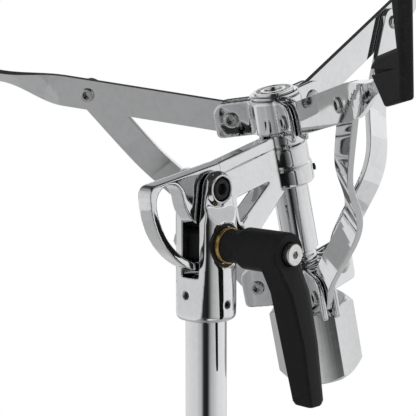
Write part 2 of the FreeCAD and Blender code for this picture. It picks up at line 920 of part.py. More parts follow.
def lever_spring():
    """Coil spring that draws the handle back on its hub."""
    shelf = lever_face() + d.hub_core_length + d.side_gap + d.spring_shelf
    room = screw_face() - d.screw_head_height - shelf
    wire = float(d.spring_wire)
    radius = float(d.screw_radius + d.side_gap + d.counterbore_radius) / 2
    low = float(shelf) + wire / 2 + float(d.side_gap)
    high = float(shelf + room) - wire / 2 - float(d.side_gap)
    path = helix_wire(radius, low, high, d.spring_turns)
    start = path.Edges[0]
    direction = start.tangentAt(start.FirstParameter)
    section = Part.Wire([Part.makeCircle(wire / 2, path.Edges[0].Vertexes[0].Point, direction)])
    coil = Part.BRepOffsetAPI.MakePipeShell(path)
    coil.add(section)
    coil.build()
    coil.makeSolid()
    print("spring gap", round((high - low) / float(d.spring_turns) - wire, 3))
    keep("lever_spring", formed(coil.shape()), LEVER)


def tilter_plate():
    """Flat part of the casting: disc, D-shaped loop, rail, web and strut, in three thicknesses."""
    outer = d.loop_outer
    inner = outer - d.loop_wall
    disc = d.disc_radius
    round_off = d.loop_corner
    corner_rise = d.loop_rise - round_off
    corner_reach = as_size(-math.sqrt(float(outer - round_off) ** 2 - float(corner_rise) ** 2))
    blend = float(outer) / float(outer - round_off)
    foot = math.sqrt(float(outer) ** 2 - float(d.strut_foot) ** 2)
    boss = d.post_reach - d.ring_outer / 4
    end_inner = math.sqrt(float(inner) ** 2 - float(d.slot_end) ** 2)
    end_disc = math.sqrt(float(disc) ** 2 - float(d.slot_end) ** 2)
    middle = (inner + disc) / 2
    cap = (inner - disc) / 2
    sine = float(d.slot_rise) / float(middle)
    cosine = math.sqrt(1 - sine * sine)
    outline = [
        (corner_reach, d.loop_rise, round_off, LEFT),
        (corner_reach * blend, corner_rise * blend, outer, LEFT),
        (-outer, ZERO, outer, LEFT),
        (ZERO, -outer, outer, LEFT),
        (d.strut_foot, as_size(-foot)),
        (boss, -d.ring_drop),
        (boss, d.ledge_rise),
        (d.ledge_start, d.ledge_rise),
        (d.ledge_start, d.rail_rise),
    ]
    loop = [
        (-disc * cosine, disc * sine, disc, LEFT),
        (ZERO, -disc, disc, LEFT),
        (d.slot_end, as_size(-end_disc)),
        (d.slot_end, as_size(-end_inner), inner, RIGHT),
        (ZERO, -inner, inner, RIGHT),
        (-inner * cosine, inner * sine, cap, RIGHT),
        (-middle * cosine + cap * sine, middle * sine + cap * cosine, cap, RIGHT),
    ]
    window_end = d.post_reach - d.ring_outer / 2 - d.window_margin
    window = [
        (d.web_end, -d.window_top_drop),
        (window_end, -d.window_top_drop),
        (d.web_end, -d.window_foot_drop),
    ]
    plate = prism([outline, loop, window], d.plate_thick, name="Plate")
    rail = prism(
        [
            [
                (ZERO, d.rail_rise),
                (ZERO, ZERO),
                (boss, ZERO),
                (boss, d.rail_rise),
            ]
        ],
        d.rail_thick,
        name="Rail",
    )
    ledge = math.sqrt(float(outer) ** 2 - float(d.strut_start) ** 2)
    strut = prism(
        [
            [
                (d.strut_start, -d.groove_drop),
                (d.strut_start, as_size(-ledge)),
                (d.strut_foot, as_size(-foot)),
                (boss, -d.ring_drop),
                (boss, -d.groove_drop),
            ],
            window,
        ],
        d.strut_thick,
        name="Strut",
    )
    return [plate, rail, strut]


def tilter_arm():
    """Chromed casting that swings in the fork and holds the basket post in a stepped boss."""
    bevel = d.boss_bevel
    under_hub = d.hub_rise - d.hub_height / 2
    neck = d.neck_outer / 2
    boss = d.boss_outer / 2
    ring = d.ring_outer / 2
    holder = turned(
        [
            (ZERO, -d.ring_drop),
            (ring - bevel, -d.ring_drop),
            (ring, -d.ring_drop + bevel),
            (ring, -d.groove_drop - bevel / 2),
            (ring - bevel / 2, -d.groove_drop),
            (boss, -d.groove_drop),
            (boss, d.ledge_rise - bevel),
            (boss - bevel, d.ledge_rise),
            (neck, d.ledge_rise),
            (neck, under_hub),
            (ZERO, under_hub),
        ]
    )
    holder.Placement = at(x=d.post_reach)
    solid = joined(tilter_plate() + [holder])
    height = d.ring_drop + under_hub
    bore = rod(
        d.post_outer / 2 + d.seat_gap,
        height + d.overrun * 2,
        at(x=d.post_reach, z=-(d.ring_drop + d.overrun)),
    )
    width = d.fork_width
    pivot = rod(d.bolt_radius + d.running_gap, width * 2, turn(X_AXIS, 90).multiply(at(z=-width)))
    screw = rod(d.grub_radius + d.seat_gap, d.ring_outer, post_screw_place())
    keep("tilter_arm", cut(solid, [bore, pivot, screw]), TILTER)


def post_screw_place():
    """Axis of the small screw that holds the post in its ring."""
    middle = (d.ring_drop + d.groove_drop) / 2
    ring = at(x=d.post_reach, z=-middle).multiply(turn(Z_AXIS, -d.post_screw_turn)).multiply(turn(Y_AXIS, 90))
    return ring.multiply(at(z=d.post_outer / 2 + d.seat_gap))


def post_screw():
    """Small black screw in the side of the ring."""
    length = (d.ring_outer - d.post_outer) / 2 + d.rivet_roll_height
    keep("post_screw", rod(d.grub_radius, length, post_screw_place()), TILTER.multiply(post_screw_place()))


def basket_post():
    """Tube that carries both hubs, plain above and threaded below."""
    outer = d.post_outer / 2
    thread = d.thread_outer / 2
    bore = outer - d.post_wall
    top = d.hub_rise + d.hub_height / 2
    start = -d.thread_start
    taper = start - d.thread_taper
    profile = [
        (bore, -d.post_foot),
        (thread - d.boss_bevel, -d.post_foot),
        (thread, -d.post_foot + d.boss_bevel),
        (thread, taper),
        (outer, start),
        (outer, top),
        (bore, top),
    ]
    keep("basket_post", turned(profile), POST)


def ear_outline(start, reach, height, round_top, round_foot):
    """Side view of a clevis ear."""
    half = height / 2
    return [
        (start, -half),
        (reach - round_foot, -half, round_foot, LEFT),
        (reach, -half + round_foot),
        (reach, half - round_top, round_top, LEFT),
        (reach - round_top, half),
        (start, half),
    ]


def clevis_hub(bore, radius, height, reach, gap, thick, pin, azimuths):
    """A ring with a pair of ears for each arm, drilled for its pins."""
    solids = [turned(sleeve_profile(bore, radius, -(height / 2), height / 2, d.hub_bevel))]
    start = (bore + radius) / 2
    outline = ear_outline(start, reach, height, d.ear_round_top, d.ear_round_foot)
    holes = []
    for azimuth in azimuths:
        face = turn(Z_AXIS, azimuth)
        for side in (-1, 1):
            ear = prism([outline], thick, name="Ear")
            ear.Placement = face.multiply(at(y=(gap + thick / 2) * side))
            solids.append(ear)
        across = face.multiply(at(x=pin)).multiply(turn(X_AXIS, 90)).multiply(at(z=-reach / 2))
        holes.append(rod(d.pin_radius + d.seat_gap, reach, across))
    return cut(joined(solids), holes)


def hub_rivets(pin, gap, thick, azimuths):
    """The rivets of one hub, rolled on the side away from the brace."""
    grip = (gap + thick) * 2
    rivets = []
    for name, azimuth in azimuths.items():
        body = rivet(grip)
        side = -90 if BRACE_SIDE.get(name, -1) < 0 else 90
        body.Placement = turn(Z_AXIS, azimuth).multiply(at(x=pin)).multiply(turn(X_AXIS, side))
        rivets.append(body)
    return grouped(rivets)


def upper_hub():
    """Fixed hub on the post's top, with its rivets and ringed cap."""
    gap = d.arm_thick / 2 + d.side_gap
    place = POST.multiply(at(z=d.hub_rise))
    bore = d.post_outer / 2 + d.seat_gap
    hub = clevis_hub(
        bore, d.hub_radius, d.hub_height, d.hub_ear_reach, gap, d.hub_ear_thick, d.hub_pin_reach,
        BASKET.values(),
    )
    keep("upper_hub", hub, place)
    keep("upper_rivets", hub_rivets(d.hub_pin_reach, gap, d.hub_ear_thick, BASKET), place)
    crest = d.cap_height + d.cap_ring_height
    rings = [d.cap_radius * share for share in CAP_RING_SHARES]
    cap = turned(
        [
            (ZERO, ZERO),
            (d.cap_radius, ZERO),
            (d.cap_radius, d.cap_height - d.cap_ring_height / 2),
            (d.cap_radius - d.cap_ring_height / 2, d.cap_height),
            (rings[0], d.cap_height),
            (rings[0], crest),
            (rings[1], crest),
            (rings[1], d.cap_height),
            (rings[2], d.cap_height),
            (rings[2], crest),
            (rings[3], crest),
            (rings[3], d.cap_height),
            (ZERO, d.cap_height),
        ]
    )
    keep("hub_cap", cap, place.multiply(at(z=d.hub_height / 2)))


def lower_hub():
    """Sliding hub that the nut pushes up the thread."""
    gap = d.brace_thick / 2 + d.side_gap
    place = POST.multiply(at(z=-lower_pin_drop()))
    hub = clevis_hub(
        d.post_outer / 2 + d.running_gap, d.lower_hub_radius, d.lower_hub_height, d.lower_ear_reach, gap,
        d.lower_ear_thick, d.lower_pin_reach, BASKET.values(),
    )
    keep("lower_hub", hub, place)
    keep("lower_rivets", hub_rivets(d.lower_pin_reach, gap, d.lower_ear_thick, BASKET), place)


def basket_nut():
    """Large hexagon nut that opens and closes the basket."""
    corner = d.nut_flats / (2 * math.cos(math.pi / 6))
    land = d.nut_flats / 2 - d.nut_bevel / 4
    length = d.nut_length
    flats = hexagon_rod(d.nut_flats, length, at(z=-length / 2))
    rounded = turned(
        [
            (ZERO, -length),
            (land, -length),
            (corner, -length + d.nut_bevel),
            (corner, -d.nut_bevel),
            (land, ZERO),
            (ZERO, ZERO),
        ]
    )
    bore = rod(d.thread_outer / 2 + d.running_gap, length + d.overrun * 2, at(z=-(length + d.overrun)))
    relief = rod(d.post_outer / 2 + d.side_gap, d.nut_relief + d.overrun, at(z=-d.nut_relief))
    top = -lower_pin_drop() - float(d.lower_hub_height / 2 + d.side_gap)
    place = POST.multiply(at(z=top)).multiply(turn(Z_AXIS, NUT_TURN))
    keep("basket_nut", cut(shared(flats, rounded), [bore, relief]), place)


def strip_outline(length, width):
    """A strip with both ends rounded about its two pins."""
    half = width / 2
    return [
        (ZERO, -half),
        (length, -half, half, LEFT),
        (length + half, ZERO, half, LEFT),
        (length, half),
        (ZERO, half, half, LEFT),
        (-half, ZERO, half, LEFT),
    ]


def boot_start():
    """Where a boot's seat begins along its arm."""
    return d.boot_seat_reach - d.boot_seat_length


def taper_end():
    """Where an arm has narrowed to its tongue."""
    return boot_start() - d.taper_margin


def tip_section(share, grow):
    """Cross-section of the tapering arm, turned a little and lifted towards its upper edge."""
    along = float(d.taper_start) + share * float(taper_end() - d.taper_start)
    ease = share * share * (3 - 2 * share)
    half = (float(d.arm_width) + ease * float(d.tip_width - d.arm_width)) / 2 + grow
    lift = ease * float(d.tip_lift)
    thick = float(d.arm_thick) / 2 + grow
    corners = [(-thick, -half), (thick, -half), (thick, half), (-thick, half)]
    angle = math.radians(ease * float(d.tip_twist))
    cosine, sine = math.cos(angle), math.sin(angle)
    points = [Vector(along, y * cosine - z * sine, lift + y * sine + z * cosine) for y, z in corners]
    return Part.makePolygon(points + points[:1])


def arm_tip(side, grow=0.0):
    """Tapered end of an arm and the tongue that its boot is moulded on."""
    taper = Part.makeLoft([tip_section(share, grow) for share in TAPER_SHARES], True, False)
    tongue_start = Part.Face(tip_section(1.0, grow))
    tongue_end = d.boot_seat_reach - d.tongue_margin
    tongue = tongue_start.extrude(Vector(float(tongue_end - taper_end()) + grow, 0, 0))
    tip = taper.fuse(tongue)
    if side > 0:
        return tip
    return tip.mirror(Vector(), Y_AXIS)


def arm(name, azimuth):
    """Flat arm: round at its pin, straight past the brace, tapering to the boot."""
    half = d.arm_width / 2
    strip = prism(
        [
            [
                (ZERO, -half),
                (d.taper_start, -half),
                (d.taper_start, half),
                (ZERO, half, half, LEFT),
                (-half, ZERO, half, LEFT),
            ]
        ],
        d.arm_thick,
        name="Strip",
    )
    tip = formed(arm_tip(BRACE_SIDE[name]), "Tip")
    across = turn(X_AXIS, 90).multiply(at(z=-d.arm_width))
    pin_hole = rod(d.pin_radius + d.running_gap, d.arm_width * 2, across)
    rivet_hole = rod(d.pin_radius + d.seat_gap, d.arm_width * 2, at(x=d.arm_pin_reach).multiply(across))
    keep(f"arm_{name}", cut(joined([strip, tip]), [pin_hole, rivet_hole]), arm_frame(azimuth))


def boot_shell():
    """Rounded outer form of a boot: a seat for the hoop and a tall back that leans outwards."""
    start = boot_start()
    foot = -d.boot_foot_drop
    seat = d.boot_seat_rise
    top = d.boot_height
    inner = d.boot_seat_reach
    inner_top = inner + d.boot_inner_lean
    outer_foot = inner - d.boot_foot_setback
    outer_top = outer_foot + d.boot_outer_lean
    lean = d.boot_outer_lean / (top - foot)
    corner = d.boot_corner
    outline = [
        (start + d.boot_heel, foot),
        (outer_foot, foot),
        (outer_top - corner * lean, top - corner),
        (outer_top - corner * 2, top),
        (inner_top + corner, top),
        (inner_top, top - corner),
        (inner, seat),
        (start + corner * 3, seat),
        (start, seat - corner),
        (start - d.boot_lip, seat - d.notch_drop - d.notch_gap),
    ]
    side = float(d.boot_thick) / 2
    corners = [Vector(float(x), -side, float(z)) for x, z in outline]
    face = Part.Face(Part.makePolygon(corners + corners[:1]))
    solid = face.extrude(Vector(0, 2 * side, 0))
    rims = [edge for edge in solid.Edges if abs(abs(edge.CenterOfMass.y) - side) < side / 2]
    return solid.makeFillet(float(d.boot_round), rims)


def boot(name, azimuth):
    """Black rubber boot on an arm's tongue, with a V moulded into both its sides."""
    start = boot_start()
    high = d.boot_seat_rise - d.notch_drop
    low = high - d.notch_gap
    mouth = start - d.boot_lip - d.overrun
    notch = [
        (mouth, high),
        (mouth, low),
        (start + d.boot_seat_length * NOTCH_DEPTH_SHARE, low - d.notch_fall),
    ]
    tools = [formed(arm_tip(BRACE_SIDE[name], float(d.seat_gap)), "Tongue")]
    for side in (-1, 1):
        groove = prism([notch], d.boot_thick, name="Notch")
        groove.Placement = at(y=(d.notch_web + d.boot_thick) / 2 * side)
        tools.append(groove)
    keep(f"boot_{name}", cut(formed(boot_shell(), "Shell"), tools), arm_frame(azimuth))


def half_rivet(depth, domed):
    """One end of a rivet along Z: a stem below the origin and a head above it."""
    if domed:
        head, rise = d.rivet_head_radius, d.rivet_head_height
        radius = (head * head + rise * rise) / (rise * 2)
        crown = [(head, ZERO, radius, LEFT), (ZERO, rise)]
    else:
        roll = d.rivet_roll_height
        crown = [
            (d.rivet_roll_radius, ZERO),
            (d.rivet_roll_radius, roll / 2),
            (d.rivet_roll_radius - roll / 2, roll),
            (d.rivet_dimple_radius, roll),
            (d.rivet_dimple_radius, roll - d.rivet_dimple_depth),
            (ZERO, roll - d.rivet_dimple_depth),
        ]
    stem = [(ZERO, -depth), (d.pin_radius, -depth), (d.pin_radius, ZERO)]
    return turned(stem + crown, "RivetEnd")


def arm_rivet(name, azimuth):
    """Rivet at the arm and brace, seen from the arm's free side."""
    side = BRACE_SIDE[name]
    facing = turn(X_AXIS, 90 if side > 0 else -90)
    place = arm_frame(azimuth).multiply(at(x=d.arm_pin_reach, y=-d.arm_thick / 2 * side)).multiply(facing)
    keep(f"arm_rivet_{name}", half_rivet(d.arm_thick, name == "far"), place)


def brace_offset():
    """Distance between the middle planes of an arm and its brace."""
    return d.arm_thick / 2 + d.brace_thick / 2 + d.side_gap


def rounded_path(points, radius):
    """Corner arcs of an open path: (start, middle, end) for each inner point."""
    arcs = []
    for before, corner, after in zip(points, points[1:], points[2:]):
        inward = (before - corner).normalize()
        onward = (after - corner).normalize()
        angle = inward.getAngle(onward)
        reach = radius / math.tan(angle / 2)
        bisector = (inward + onward).normalize()
        centre = corner + bisector * (radius / math.sin(angle / 2))
        arcs.append((corner + inward * reach, corner + onward * reach, centre))
    return arcs


def band(points, radius, thick):
    """Face of a bent strip seen on edge: a path with round bends, given an even thickness."""
    arcs = rounded_path(points, radius)
    rows = []
    for side in (-1, 1):
        def shifted(point, ahead):
            normal = Vector(-ahead.y, ahead.x, 0).normalize()
            return point + normal * (side * thick / 2)

        edges = []
        here = shifted(points[0], points[1] - points[0])
        for index, (start, end, centre) in enumerate(arcs):
            first = shifted(start, points[index + 1] - points[index])
            last = shifted(end, points[index + 2] - points[index + 1])
            chord_middle = (first + last) * 0.5
            bow = centre + (chord_middle - centre).normalize() * (first - centre).Length
            edges.append(Part.LineSegment(here, first).toShape())
            edges.append(Part.Arc(first, bow, last).toShape())
            here = last
        final = shifted(points[-1], points[-1] - points[-2])
        edges.append(Part.LineSegment(here, final).toShape())
        rows.append((edges, shifted(points[0], points[1] - points[0]), final))
    caps = [
        Part.LineSegment(rows[0][1], rows[1][1]).toShape(),
        Part.LineSegment(rows[0][2], rows[1][2]).toShape(),
    ]
    return Part.Face(Part.Wire(Part.__sortEdges__(rows[0][0] + rows[1][0] + caps)))


def brace(name, azimuth):
    """Bent strip from the lower hub up to the arm, set aside halfway to clear the upper hub."""
    side = BRACE_SIDE[name]
    length = float(d.brace_length)
    half = float(d.brace_width) / 2
    near = float(brace_offset()) * side
    far = float(d.joggle_depth) * side
    first, peak, fall, rest = [length * (1 - share) for share in JOGGLE_SHARES]
    path = [
        Vector(-half, 0, 0),
        Vector(rest, 0, 0),
        Vector(fall, far, 0),
        Vector(peak, far, 0),
        Vector(first, near, 0),
        Vector(length + half, near, 0),
    ]
    face = band(path, float(d.joggle_bend), float(d.brace_thick))
    solid = face.extrude(Vector(0, 0, 2 * half))
    solid.translate(Vector(0, 0, -half))
    bent = formed(solid, "Bent")
    ends = prism([strip_outline(d.brace_length, d.brace_width)], d.joggle_depth * 4, name="Ends")
    across = turn(X_AXIS, 90).multiply(at(z=-d.joggle_depth * 2))
    depth = d.joggle_depth * 4
    pin_hole = rod(d.pin_radius + d.running_gap, depth, across)
    rivet_hole = rod(d.pin_radius + d.seat_gap, depth, at(x=d.brace_length).multiply(across))
    strip = cut(shared(bent, ends), [pin_hole, rivet_hole])
    keep(f"brace_{name}", strip, brace_frame(azimuth))


def brace_rivet(name, azimuth):
    """The same rivet's other head, on the brace's outer face."""
    side = BRACE_SIDE[name]
    facing = turn(X_AXIS, -90 if side > 0 else 90)
    face = (brace_offset() + d.brace_thick / 2) * side
    place = brace_frame(azimuth).multiply(at(x=d.brace_length, y=face)).multiply(facing)
    keep(f"brace_rivet_{name}", half_rivet(d.brace_thick, name != "far"), place)


def base_tube():
    """Outer tube of the base, with a rubber plug in its foot."""
    outer = d.base_outer / 2
    inner = outer - d.base_wall
    top = d.clamp_top - d.clamp_lip
    keep("base_tube", turned(sleeve_profile(inner, outer, d.base_bottom, top)))
    low = d.base_bottom - d.plug_flange
    plug = [
        (ZERO, low),
        (outer - d.base_wall, low),
        (outer, low + d.base_wall),
        (outer, d.base_bottom),
        (inner - d.seat_gap, d.base_bottom),
        (inner - d.seat_gap, d.base_bottom + d.plug_depth),
        (ZERO, d.base_bottom + d.plug_depth),
    ]
    keep("tube_plug", turned(plug))


def base_clamp():
    """Split casting on the base tube's top that grips the height tube."""
    outer = d.clamp_outer / 2
    base = d.base_outer / 2 + d.seat_gap
    lip = d.tube_outer / 2 + d.side_gap
    low = d.clamp_top - d.clamp_height
    seat = d.clamp_top - d.clamp_lip
    bevel = d.boss_bevel
    ring = turned(
        [
            (base, low),
            (outer - bevel, low),
            (outer, low + bevel),
            (outer, d.clamp_top - bevel),
            (outer - bevel, d.clamp_top),
            (lip, d.clamp_top),
            (lip, seat),
            (base, seat),
        ]
    )
    middle = low + (d.clamp_height - d.lug_height) / 2
    lug_root = base + d.base_wall
    lug_place = at(y=(d.lug_reach + lug_root) / 2, z=middle)
    lug = block(d.lug_width, d.lug_reach - lug_root, d.lug_height, lug_place)
    split_deep = d.lug_reach + d.overrun
    split_place = at(y=split_deep / 2, z=low - d.clamp_height / 2)
    split = block(d.clamp_split, split_deep, d.clamp_height * 2, split_place)
    bolt_place = clamp_bolt_place().multiply(at(z=-d.lug_width))
    bolt = rod(d.wing_bolt_radius + d.running_gap, d.lug_width * 2, bolt_place)
    keep("base_clamp", cut(joined([ring, lug]), [split, bolt]))


def clamp_bolt_place():
    """Axis of the wing bolt across the clamp's lug, pointing to its wings."""
    middle = d.clamp_top - d.clamp_height / 2
    return at(y=d.lug_bolt_reach, z=middle).multiply(turn(Y_AXIS, -90))


def wing_bolt(length):
    """A wing bolt whose wings stand on its placement's origin, with its stem below."""
    stem = rod(d.wing_bolt_radius, length + d.wing_hub_length / 2, at(z=-length))
    hub = turned(
        [
            (ZERO, ZERO),
            (d.wing_hub_radius, ZERO),
            (d.wing_hub_radius, d.wing_hub_length - d.boss_bevel),
            (d.wing_hub_radius - d.boss_bevel, d.wing_hub_length),
            (ZERO, d.wing_hub_length),
        ]
    )
    half = d.wing_span / 2
    high = d.wing_hub_length / 2 + d.wing_height
    low = d.wing_hub_length / 4
    rise = d.wing_height / 2
    wings = prism(
        [
            [
                (-half + rise, low),
                (half - rise, low, rise * 2, LEFT),
                (half, high - rise),
                (half - rise, high),
                (d.wing_hub_radius, d.wing_hub_length),
                (-d.wing_hub_radius, d.wing_hub_length),
                (-half + rise, high),
                (-half, high - rise, rise * 2, LEFT),
            ]
        ],
        d.wing_thick,
        name="Wings",
    )
    return joined([stem, hub, wings])


def clamp_bolt():
    """Wing bolt that closes the height clamp."""
    start = d.lug_width / 2 + d.side_gap
    length = start + d.lug_width / 2 + d.overrun
    keep("clamp_bolt", wing_bolt(length), clamp_bolt_place().multiply(at(z=start)))


def clamp_bush():
    """Nylon bush between the two tubes."""
    top = d.clamp_top - d.clamp_lip
    inner = d.tube_outer / 2 + d.running_gap
    outer = d.base_outer / 2 - d.base_wall - d.seat_gap
    keep("clamp_bush", turned(sleeve_profile(inner, outer, top - d.bush_length, top)))


def memory_lock():
    """Split ring that keeps the height when the clamp is opened, with its square-headed screw."""
    inner = d.tube_outer / 2 + d.running_gap
    outer = d.lock_outer / 2
    low = d.clamp_top + d.side_gap
    ring = turned(sleeve_profile(inner, outer, low, low + d.lock_height, d.hub_bevel))
    split = block(d.lock_split, outer * 2, d.lock_height * 2, at(y=outer, z=low - d.lock_height / 2))
    middle = low + d.lock_height / 2
    reach = (inner + outer) / 2 + d.lock_screw_radius / 4
    start = d.lock_outer / 2 - d.lock_screw_head_height
    axis = at(y=reach, z=middle).multiply(turn(Y_AXIS, -90))
    hole = rod(d.lock_screw_radius + d.seat_gap, outer * 2, axis.multiply(at(z=-outer)))
    spot = rod(d.lock_screw_head_radius + d.seat_gap, outer, axis.multiply(at(z=start / 2)))
    keep("memory_lock", cut(ring, [split, hole, spot]))
    length = outer + start / 2
    stem = rod(d.lock_screw_radius, length, at(z=start / 2 - length + d.seat_gap))
    head = rod(d.lock_screw_head_radius, d.lock_screw_head_height, at(z=start / 2 + d.seat_gap))
    square_low = start / 2 + d.lock_screw_head_height
    square = block(d.lock_screw_square, d.lock_screw_square, d.lock_screw_square, at(z=square_low))
    keep("memory_screw", joined([stem, head, square]), axis)


def leg_collar():
    """Sliding collar with a lug for each leg, its rivets and its wing screw."""
    height = d.collar_length
    bore = d.base_outer / 2 + d.running_gap
    radius = d.collar_radius
    solids = [turned(sleeve_profile(bore, radius, -(height / 2), height / 2, d.hub_bevel))]
    start = (bore + radius) / 2
    lug_height = d.leg_width
    outline = ear_outline(start, d.collar_ear_reach, lug_height, d.ear_round_foot, d.ear_round_foot)
    holes = []
    for azimuth in LEGS.values():
        lug = prism([outline], d.leg_lug_thick, name="Lug")
        lug.Placement = turn(Z_AXIS, azimuth)
        solids.append(lug)
        across = turn(Z_AXIS, azimuth).multiply(at(x=d.leg_pin_reach)).multiply(turn(X_AXIS, 90))
        holes.append(rod(d.pin_radius + d.seat_gap, d.leg_width * 2, across.multiply(at(z=-d.leg_width))))
    holes.append(rod(d.wing_bolt_radius + d.running_gap, radius * 2, turn(Y_AXIS, 90)))
    place = at(z=d.collar_height)
    keep("leg_collar", cut(joined(solids), holes), place)
    grip = d.leg_lug_thick + (d.side_gap * 2 + d.leg_thick) * 2
    rivets = []
    for azimuth in LEGS.values():
        body = rivet(grip)
        body.Placement = turn(Z_AXIS, azimuth).multiply(at(x=d.leg_pin_reach)).multiply(turn(X_AXIS, 90))
        rivets.append(body)
    keep("collar_rivets", grouped(rivets), place)
    length = radius - bore + d.overrun
    head = place.multiply(turn(Y_AXIS, 90)).multiply(at(z=radius + d.overrun))
    keep("collar_bolt", wing_bolt(length), head)


def lower_bracket():
    """Fixed bracket at the tube's foot with a clevis for each strut, and its rivets."""
    gap = d.strut_strip_thick / 2 + d.side_gap
    bore = d.base_outer / 2 + d.seat_gap
    bracket = clevis_hub(
        bore, d.collar_radius, d.bracket_length, d.collar_ear_reach, gap, d.bracket_ear_thick,
        d.leg_pin_reach, LEGS.values(),
    )
    place = at(z=bracket_height())
    keep("lower_bracket", bracket, place)
    keep("bracket_rivets", hub_rivets(d.leg_pin_reach, gap, d.bracket_ear_thick, LEGS), place)


def leg_gap():
    """Half the distance between a leg's two strips."""
    return d.leg_lug_thick / 2 + d.side_gap


def leg(name, azimuth):
    """Two parallel strips from the collar to the foot, with the rivet heads of the strut's pivot."""
    frame = leg_frame(azimuth)
    length = as_size(leg_length())
    offset = leg_gap() + d.leg_thick / 2
    strips = []
    heads = []
    for side in (-1, 1):
        strip = prism([strip_outline(length, d.leg_width)], d.leg_thick, name="LegStrip")
        across = turn(X_AXIS, 90).multiply(at(z=-d.leg_width))
        pin_hole = rod(d.pin_radius + d.running_gap, d.leg_width * 2, across)
        rivet_hole = rod(d.pin_radius + d.seat_gap, d.leg_width * 2, at(x=d.strut_length).multiply(across))
        drilled = cut(strip, [pin_hole, rivet_hole])
        drilled.Placement = at(y=offset * side)
        strips.append(drilled)
        head = half_rivet(d.leg_thick, side > 0)
        face = at(x=d.strut_length, y=(offset + d.leg_thick / 2) * side)
        head.Placement = face.multiply(turn(X_AXIS, -90 * side))
        heads.append(head)
    keep(f"leg_{name}", grouped(strips), frame)
    keep(f"leg_rivet_{name}", grouped(heads), frame)


def strut(name, azimuth):
    """Strip between a leg's two sides, from the bracket up to the leg's rivet."""
    strip = prism([strip_outline(d.strut_length, d.strut_width)], d.strut_strip_thick, name="StrutStrip")
    across = turn(X_AXIS, 90).multiply(at(z=-d.strut_width))
    holes = [
        rod(d.pin_radius + d.running_gap, d.strut_width * 2, across),
        rod(d.pin_radius + d.seat_gap, d.strut_width * 2, at(x=d.strut_length).multiply(across)),
    ]
    keep(f"strut_{name}", cut(strip, holes), strut_frame(azimuth))


def foot(name, azimuth):
    """Rubber foot pressed on the end of a leg, flat on the floor."""
    radius = d.foot_radius
    body = turned(
        [
            (ZERO, ZERO),
            (radius, ZERO),
            (radius, d.foot_height - d.foot_round, d.foot_round, LEFT),
            (radius - d.foot_round, d.foot_height),
            (ZERO, d.foot_height),
        ]
    )
    stand = turn(Z_AXIS, azimuth).multiply(at(x=d.foot_reach))
    into_foot = stand.inverse().multiply(leg_frame(azimuth))
    room = d.seat_gap * 2
    outline = strip_outline(as_size(leg_length()), d.leg_width + room)
    pockets = []
    for side in (-1, 1):
        pocket = prism([outline], d.leg_thick + room, name="Pocket")
        offset = (leg_gap() + d.leg_thick / 2) * side
        pocket.Placement = into_foot.multiply(at(y=offset))
        pockets.append(pocket)
    keep(f"foot_{name}", cut(body, pockets), stand)


def build():
    """Makes every sub-part."""
    upper_tube()
    tilter_sleeve()
    sleeve_screws()
    pivot_bolt()
    pivot_nut()
    lever_nut()
    clamp_block()
    lever_stud()
    lever_bush()
    lever_handle()
    lever_screw()
    lever_spring()
    tilter_arm()
    post_screw()
    basket_post()
    upper_hub()
    lower_hub()
    basket_nut()
    for name, azimuth in BASKET.items():
        arm(name, azimuth)
        boot(name, azimuth)
        arm_rivet(name, azimuth)
        brace(name, azimuth)
        brace_rivet(name, azimuth)
    base_tube()
    base_clamp()
    clamp_bolt()
    clamp_bush()
    memory_lock()
    leg_collar()
    lower_bracket()
    for name, azimuth in LEGS.items():
        leg(name, azimuth)
        strut(name, azimuth)
        foot(name, azimuth)


def check_and_write():
    """Stops on any failed object or bad shape, then writes one file per sub-part."""
    failed = [entry.Name for entry in doc.Objects if {"Invalid", "Error"} & set(entry.State)]
    failed += [label for label, entry in parts.items() if entry.Shape.isNull() or not entry.Shape.isValid()]
    failed += [label for label, entry in parts.items() if not entry.Shape.Solids]
    if failed:
        raise RuntimeError("failed objects: " + ", ".join(failed))
    os.makedirs("parts", exist_ok=True)
    for label, entry in parts.items():
        entry.Shape.exportStep(f"parts/{label}.step")
    print(len(parts), "sub-parts written")


build()
doc.recompute()
check_and_write()
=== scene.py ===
"""Looks of the snare drum stand: finishes, rounded edges, thread, studio and camera."""

from __future__ import annotations

import json
import logging
import math
from dataclasses import dataclass, field
from enum import Enum
from typing import Any

import bmesh
import bpy
from mathutils import Matrix, Vector

